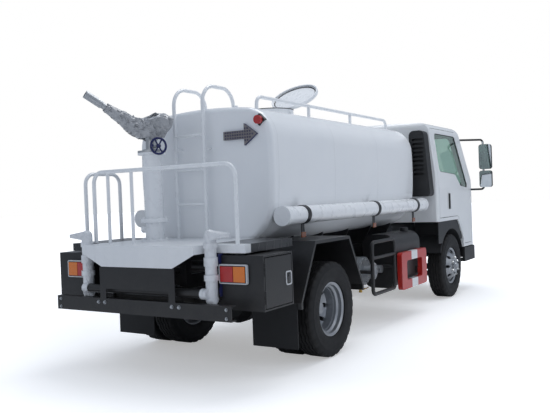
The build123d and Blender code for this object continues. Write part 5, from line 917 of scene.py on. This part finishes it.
def cushion(name, centre, along, facing, size, channels):
    along, facing = Vector(along).normalized(), Vector(facing).normalized()
    across = facing.cross(along)
    half = Vector(size) / 2
    bm = bmesh.new()
    bmesh.ops.create_cube(bm, size=2.0)
    bmesh.ops.subdivide_edges(bm, edges=bm.edges, cuts=CUTS, use_grid_fill=True)
    for v in bm.verts:
        p = Vector([v.co[i] * half[i] for i in range(3)])
        core = Vector([max(ROLL_RADIUS - half[i], min(half[i] - ROLL_RADIUS, p[i])) for i in range(3)])
        if (p - core).length > 1e-6:
            p = core + (p - core).normalized() * ROLL_RADIUS
        u, w = p.x / half.x, p.y / half.y
        x = p.x * (1 - PULL_SIDES * (1 - w * w))
        y = p.y * (1 - PULL_ENDS * (1 - u * u))
        z = p.z
        if z > 0:
            z += CROWN * (1 - u * u) * (1 - w * w)
            if abs(u) < SEAM_END:
                z -= CHANNEL_DEPTH * sum(dent(y - place * size[1], CHANNEL_HALF) for place in channels)
            z -= SEAM_DEPTH * dent(max(abs(u) / SEAM_END, abs(w) / SEAM_SIDE) - 1, SEAM_HALF)
        z += LUMPS * noise.noise(Vector((x, y, z)) * LUMPS_PER_METRE)
        v.co = Vector(centre) + x * along + y * across + z * facing
    made = piece(name, bm, seat_cloth, "cab", 60)


# %% [markdown]
# The driver has a single seat and the passengers a bench. Both stand on moulded plinths that
# meet the cab's floor, and each is a cushion that slopes a little and a back that leans.

# %% Seats in the cab
# Each seat: its right and left edges, and its channels as shares of its width.
SEATS = {"driver": (0.19, 0.69, (-0.16, 0.16)), "passenger": (-0.69, 0.15, (-0.3, 0.0, 0.3))}
CUSHION_PLAY = 0.006
BASE_X, BASE_Z, BASE_WAY, BASE_FACING = 1.864, 1.245, (0.44, 0, 0.03), (-0.03, 0, 0.44)
BACK_X, BACK_Z, BACK_WAY, BACK_FACING = 1.556, 1.571, (-0.11, 0, 0.59), (0.59, 0, 0.11)
PLINTH_X, CAB_FLOOR = 1.815, 0.99
plinths = bmesh.new()
for who, (low, high, channels) in SEATS.items():
    y, width = (low + high) / 2, high - low
    wide = width - CUSHION_PLAY
    cushion(f"{who}_seat_cushion", (BASE_X, y, BASE_Z), BASE_WAY, BASE_FACING,
            (0.462, wide, 0.13), channels)
    cushion(f"{who}_seat_back", (BACK_X, y, BACK_Z), BACK_WAY, BACK_FACING,
            (0.6, wide, 0.124), channels)
    pressed(plinths, (PLINTH_X, y, CAB_FLOOR), UP, (0, 1, 0), [
        (0.485, width - 0.03, 0.03, 0.001), (0.485, width - 0.03, 0.03, 0.03),
        (0.47, width - 0.045, 0.025, 0.036), (0.47, width - 0.05, 0.025, 0.165),
        (0.45, width - 0.07, 0.02, 0.182)])
plinth = piece("seat_plinths", plinths, grey_abs, "cab")
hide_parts("seats")

# %% [markdown]
# The new cannon is still bagged in grey film: a sleeve along the barrel that opens into a slack
# bag between barrel and handle, with a white mouth at the top and an open skirt over the yoke.
# The bag is drawn flat first, as the outline seen from its side, and filled with points by a
# Delaunay mesh. Its points are distances along the barrel and above it, from the trunnion.

# %% Flat cut of the bag
TRUNNION = Vector((COLUMN_X, COLUMN_Y, 1.83))
AIM, TILT = radians(153), radians(32)
barrel_way = Vector((cos(TILT) * cos(AIM), cos(TILT) * sin(AIM), sin(TILT)))
barrel_up = Vector((-sin(TILT) * cos(AIM), -sin(TILT) * sin(AIM), cos(TILT)))
barrel_side = barrel_up.cross(barrel_way)
TOP_EDGE = [(0.43, 0.036), (0.36, 0.044), (0.30, 0.054), (0.25, 0.060), (0.215, 0.062)]
MOUTH = [(0.215, 0.062), (0.165, 0.070), (0.12, 0.096), (0.08, 0.142), (0.05, 0.196)]
BACK_EDGE = [
    (0.05, 0.196), (0.02, 0.218), (-0.03, 0.222), (-0.075, 0.21),
    (-0.09, 0.16), (-0.085, 0.1), (-0.08, 0.045)]
SKIRT = [(-0.08, 0.045), (-0.02, 0.002), (0.04, -0.035), (0.085, -0.064)]
LOWER_EDGE = [
    (0.085, -0.064), (0.14, -0.072), (0.19, -0.070), (0.26, -0.056), (0.34, -0.044), (0.43, -0.036)]
SLEEVE_END = [(0.43, -0.036), (0.43, 0.036)]
FILM_STEP, FILM_JITTER = 0.009, 0.004
GRID_CORNER, GRID_COLUMNS, GRID_ROWS = Vector((-0.1, -0.09)), 64, 40


def divided(line):
    points = []
    for (a, b), (c, d) in zip(line, line[1:]):
        steps = max(1, round(((c - a) ** 2 + (d - b) ** 2) ** 0.5 / FILM_STEP))
        points += [Vector((a + (c - a) * i / steps, b + (d - b) * i / steps)) for i in range(steps)]
    return points


top, mouth, back, skirt, lower, sleeve_end = [
    divided(line) for line in (TOP_EDGE, MOUTH, BACK_EDGE, SKIRT, LOWER_EDGE, SLEEVE_END)]
outline = top + mouth + back + skirt + lower + sleeve_end
inner = []
for column in range(GRID_COLUMNS):
    for row in range(GRID_ROWS):
        jitter = noise.cell_vector(Vector((column, row, 3))) * FILM_JITTER
        inner.append(GRID_CORNER + Vector((column, row)) * FILM_STEP + jitter.to_2d())
outline_edges = [(i, (i + 1) % len(outline)) for i in range(len(outline))]
cut = delaunay_2d_cdt(outline + inner, outline_edges, [list(range(len(outline)))], 1, 0.002)
cut_points, cut_triangles = cut[0], cut[2]
used = sorted({i for triangle in cut_triangles for i in triangle})
print("flat bag:", len(used), "points,", len(cut_triangles), "triangles")

# %% [markdown]
# Two copies of the flat cut are blown apart sideways like a pillow. They meet at the sewn edges
# and stay apart at the three openings. Ridged noise crumples the film, and it is slack only where
# it stands well off the barrel. Blender's vector noise is drawn from the clock until it is given
# a seed, so a seed is set, and the bag comes out the same each time.

# %% Blow up and crumple the bag
SEWN_POINTS = top + back + lower + [Vector(edge[-1]) for edge in (TOP_EDGE, BACK_EDGE, LOWER_EDGE)]
SIDE_ROOM = [(0.43, 0.037), (0.33, 0.048), (0.2, 0.076), (0.1, 0.092), (-0.1, 0.092)]
HANDLE_BAR, HANDLE_REACH, HANDLE_ROOM = Vector((-0.051, 0.141)), 0.12, 0.052
SEAM_ROUND, SLACK, SLACK_WIDTH = 0.045, 0.007, 0.05
FOLD_HEIGHT, FOLD_LOW, FOLD_HIGH = 0.013, -0.004, 0.014
CREASE_DEPTH, CREASE_WIDTH = 0.016, 0.22
LIP_REACH, LIP_DROP = 0.05, {1: -0.008, -1: 0.024}
noise.seed_set(1)


def bag_half_width(p):
    room = SIDE_ROOM[0][1]
    for (a, room_a), (c, room_c) in zip(SIDE_ROOM, SIDE_ROOM[1:]):
        if c <= p.x <= a:
            room = room_c + (room_a - room_c) * (p.x - c) / (a - c)
    room += HANDLE_ROOM * max(0.0, 1 - ((p - HANDLE_BAR).length / HANDLE_REACH) ** 2)
    full = min(1.0, min((p - q).length for q in SEWN_POINTS) / SEAM_ROUND)
    return room * (1 - (1 - full) ** 2) ** 0.5


def crumpled(p, hand):
    width = bag_half_width(p)
    q = Vector((p.x * 7, p.y * 7, hand * (2 + width * 9)))
    folds_at = Vector((q.x * 1.1 + q.y * 1.4, q.y * 3.2 - q.x * 1.1, q.z))
    fold = noise.ridged_multi_fractal(folds_at, 0.8, 2.1, 3, 1.0, 2.0) - 1.0
    crease = abs(noise.noise(Vector((q.x * 2.6 + q.y, q.y * 4.5 - q.x * 2.1, q.z * 2))))
    loose = min(1.0, width / SLACK_WIDTH)
    width += loose * max(FOLD_LOW, min(FOLD_HIGH, FOLD_HEIGHT * fold))
    width -= loose * CREASE_DEPTH * max(0.0, CREASE_WIDTH - crease) / CREASE_WIDTH
    slack = noise.noise_vector(q * 2.3) * SLACK
    slack.y += LIP_DROP[hand] * dent(min((p - o).length for o in mouth), LIP_REACH)
    x, y = p.x + loose * slack.x, p.y + loose * slack.y
    return TRUNNION + x * barrel_way + y * barrel_up + hand * width * barrel_side


bag = bmesh.new()
for hand in (1, -1):
    corners = {i: bag.verts.new(crumpled(cut_points[i], hand)) for i in used}
    for triangle in cut_triangles:
        bag.faces.new([corners[i] for i in (triangle if hand > 0 else reversed(triangle))])
film = piece("cannon_film_bag", bag, grey_film, "cannon_barrel", 48)
film_area = sum(face.area for face in film.data.polygons)
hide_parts("cannon_wrap")
print("film area", round(film_area, 3), "m2, flat cut", round(0.42 * 0.6, 3), "m2")

# %% [markdown]
# Round the mouth the bag is lined with a second, whiter film. It shows as a narrow edge on one
# side and as a wide turned-out lip on the other.

# %% White mouth of the bag
LINING_EDGE, LINING_LIP = 0.012, 0.05
film.data.materials.append(white_film)
lined = 0
for face in film.data.polygons:
    lean = face.center - TRUNNION
    flat_spot = Vector((lean.dot(barrel_way), lean.dot(barrel_up)))
    lining = LINING_EDGE if lean.dot(barrel_side) > 0 else LINING_LIP
    if min((flat_spot - q).length for q in mouth) < lining:
        face.material_index = 1
        lined += 1
print("white faces at the mouth:", lined)

# %% [markdown]
# Each window sits in an extruded rubber seal. Its path is the rim of the CAD glass, so it is read
# from the glass itself: edges that belong to only one outward face are the rim, and chained end to
# end they make a loop for the tube helper.

# %% Window seals
FACES_OUTWARD = 0.75


def glass_rims(node, outward):
    mesh = nodes[node].data
    spots = [tuple(round(c, 5) for c in vertex.co) for vertex in mesh.vertices]
    shared = {}
    for face in mesh.polygons:
        if face.normal.dot(Vector(outward)) > FACES_OUTWARD:
            for a, b in face.edge_keys:
                key = frozenset((spots[a], spots[b]))
                shared[key] = shared.get(key, 0) + 1
    links = {}
    for key, uses in shared.items():
        if uses == 1 and len(key) == 2:
            a, b = key
            links.setdefault(a, []).append(b)
            links.setdefault(b, []).append(a)
    loops = []
    while links:
        start = here = min(links)
        loop = []
        while here in links:
            loop.append(here)
            ways = [p for p in links.pop(here) if p in links]
            here = ways[0] if ways else start
        if len(loop) > 3:
            loops.append(loop)
    return loops


SCREEN_OUT = Vector((0.918, 0, 0.396))
SEALS = [
    ("windscreen_seal", "cab_glass", SCREEN_OUT, "cab", 0.011),
    ("rear_window_seal", "cab_glass", BACK, "cab", 0.009),
    ("door_seal_left", "door_glass_left", (0, 1, 0), "door_left", 0.008),
    ("door_seal_right", "door_glass_right", (0, -1, 0), "door_right", 0.008),
]
for name, node, outward, body, radius in SEALS:
    bm = bmesh.new()
    for loop in glass_rims(node, outward):
        tube(bm, loop, radius, closed=True)
    piece(name, bm, seal_rubber, body, 50)

# %% [markdown]
# Two wipers park along the foot of the windscreen. Each has a turned pivot cap, an arm that leans
# back to the glass and a blade: a slim rail over a rubber lip. A spot on the screen is given by
# its Y, its rise along the glass and its lift off it.

# %% Wipers
SCREEN_FOOT, SCREEN_HEAD = Vector((2.704, 0, 1.37)), Vector((2.424, 0, 2.02))
screen_rise = (SCREEN_HEAD - SCREEN_FOOT).normalized()
WIPER_PIVOTS, ARM_REACH, BLADE_HALF, BLADE_RISE = (-0.60, 0.04), 0.30, 0.27, 0.058
PIVOT_CAP = [(0.0, 0.034), (0.012, 0.033), (0.016, 0.028), (0.017, 0.0)]


def on_screen(y, rise, lift):
    return SCREEN_FOOT + Vector((0, y, 0)) + rise * screen_rise + lift * SCREEN_OUT


wipers = bmesh.new()
for pivot in WIPER_PIVOTS:
    turned(wipers, PIVOT_CAP, on_screen(pivot, -0.012, 0.002), SCREEN_OUT, 20)
    hold = pivot + ARM_REACH
    tube(wipers, [on_screen(pivot, -0.01, 0.026), on_screen(pivot + 0.09, 0.012, 0.03),
                  on_screen(hold, BLADE_RISE, 0.024)], 0.006)
    rail = [on_screen(hold + reach, BLADE_RISE + 0.03 * reach, 0.018)
            for reach in (-BLADE_HALF, 0.0, BLADE_HALF)]
    tube(wipers, rail, 0.005)
    tube(wipers, [end - 0.009 * SCREEN_OUT for end in rail], 0.0035, sides=5)
piece("windscreen_wipers", wipers, gloss_abs, "cab")

# %% [markdown]
# Flanges are bolted: a hexagon head on a washer, all from the turning helper. The column has rings
# of bolts at its foot and middle, the pump casing has a ring on its cover, and the underrun bar has
# bolts in pairs where the brackets hold it.

# %% Bolts
def bolt(bm, seat, out, across):
    r = across / 2
    turned(bm, [(0.0, 0.0), (1.35 * r, 0.0), (1.35 * r, 0.0022), (r, 0.0025)], seat, out, 16)
    turned(bm, [(r, 0.002), (r, 0.9 * r), (0.88 * r, 1.1 * r), (0.0, 1.12 * r)], seat, out, 6)


def ring_of_bolts(bm, centre, out, radius, count, across):
    out = Vector(out)
    side = out.orthogonal().normalized()
    other = out.cross(side)
    for index in range(count):
        angle = 2 * pi * (index + 0.5) / count
        bolt(bm, Vector(centre) + radius * (cos(angle) * side + sin(angle) * other), out, across)


COLUMN_FOOT, FLANGE_CIRCLE = 1.0, 0.094
column_bolts = bmesh.new()
for rise, way in ((0.016, 1), (0.182, 1), (0.15, -1)):
    flange = (COLUMN_X, COLUMN_Y, COLUMN_FOOT + rise)
    ring_of_bolts(column_bolts, flange, (0, 0, way), FLANGE_CIRCLE, 8, 0.02)
piece("column_flange_bolts", column_bolts, white_enamel, "chassis")

BAR_FACE, BAR_Z, BAR_END = -2.85, 0.575, 0.805
bar_bolts = bmesh.new()
for y in (0.385, 0.32, -0.335, -0.40):
    bolt(bar_bolts, (BAR_FACE, y, BAR_Z), BACK, 0.022)
for sign in (1, -1):
    for z in (0.52, 0.58):
        bolt(bar_bolts, (BAR_FACE, sign * BAR_END, z), BACK, 0.018)
piece("underrun_bar_bolts", bar_bolts, cast_aluminium, "chassis")

# %% [markdown]
# The pump's cover carries a ring of bolts, and a brass drain cock hangs below it: a turned plug, a
# short body and a lever.

# %% Pump fittings
PUMP, PUMP_OUT = Vector((-0.31, -0.64, 0.55)), (0, -1, 0)
cover = bmesh.new()
ring_of_bolts(cover, PUMP, PUMP_OUT, 0.121, 10, 0.022)
ring_of_bolts(cover, PUMP + Vector((0, -0.10, 0)), PUMP_OUT, 0.066, 6, 0.016)
piece("pump_cover_bolts", cover, bright_zinc, "chassis")
COCK = Vector((-0.31, -0.585, 0.412))
PLUG = [(0.0, 0.0), (0.02, 0.0), (0.02, 0.016), (0.014, 0.02),
        (0.014, 0.06), (0.019, 0.064), (0.019, 0.078), (0.0, 0.08)]
STEM = [(0.0, 0.0), (0.009, 0.0), (0.009, 0.03), (0.006, 0.034), (0.0, 0.034)]
LEVER = [(0, -0.046, -0.04), (0.03, -0.05, -0.04), (0.075, -0.052, -0.034)]
cock = bmesh.new()
turned(cock, PLUG, COCK, (0, 0, -1), 24)
turned(cock, STEM, COCK + Vector((0, -0.014, -0.04)), PUMP_OUT, 18)
tube(cock, [COCK + Vector(point) for point in LEVER], 0.0055)
piece("brass_drain_cock", cock, turned_brass, "chassis")

# %% [markdown]
# Under the lid a rubber ring is pressed against the neck when it is shut. The lid is open, so the
# ring shows as a dark circle inside its rim.

# %% Lid gasket
LID_LEAN = radians(35)
LID_OUT = Vector((-sin(LID_LEAN), 0, cos(LID_LEAN)))
LID_MIDDLE, LID_HALF_THICK = Vector((-0.46825, 0, 2.32374)), 0.011
GASKET = [(0.213, 0.0), (0.2135, 0.0035), (0.215, 0.005), (0.222, 0.005), (0.2235, 0.0035), (0.224, 0.0)]
gasket = bmesh.new()
turned(gasket, GASKET, LID_MIDDLE - LID_HALF_THICK * LID_OUT, LID_OUT, 72)
piece("lid_gasket", gasket, seal_rubber, "manhole_lid")

# %% [markdown]
# The turret is turned by a handwheel. The CAD has its stem and spokes; the round rim that the hand
# holds is a closed tube here, with a small knob.

# %% Handwheel rim
WHEEL_SIDE = Vector((-sin(AIM), cos(AIM), 0))
WHEEL_AHEAD = Vector((cos(AIM), sin(AIM), 0))
WHEEL_OUT, WHEEL_DROP, WHEEL_RADIUS, WHEEL_STEPS = 0.15, 0.081, 0.062, 40
KNOB = [(0.006, 0.0), (0.006, 0.012), (0.011, 0.02), (0.012, 0.032), (0.008, 0.042), (0.0, 0.044)]
HUB = [(0.016, -0.012), (0.018, 0.008), (0.01, 0.014), (0.0, 0.014)]
wheel_middle = TRUNNION + WHEEL_OUT * WHEEL_SIDE + Vector((0, 0, -WHEEL_DROP))
turns = [2 * pi * i / WHEEL_STEPS for i in range(WHEEL_STEPS)]
circle = [wheel_middle + WHEEL_RADIUS * (cos(t) * WHEEL_AHEAD + sin(t) * Vector(UP)) for t in turns]
handwheel = bmesh.new()
tube(handwheel, circle, 0.009, closed=True, sides=10)
turned(handwheel, KNOB, wheel_middle + WHEEL_RADIUS * WHEEL_AHEAD, WHEEL_SIDE, 18)
turned(handwheel, HUB, wheel_middle, WHEEL_SIDE, 20)
piece("handwheel_rim", handwheel, navy_enamel, "cannon_turret")

# %% [markdown]
# The last step finds the box round everything the render shows.

# %% Size of the dressed truck
bpy.context.view_layer.update()
low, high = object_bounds()
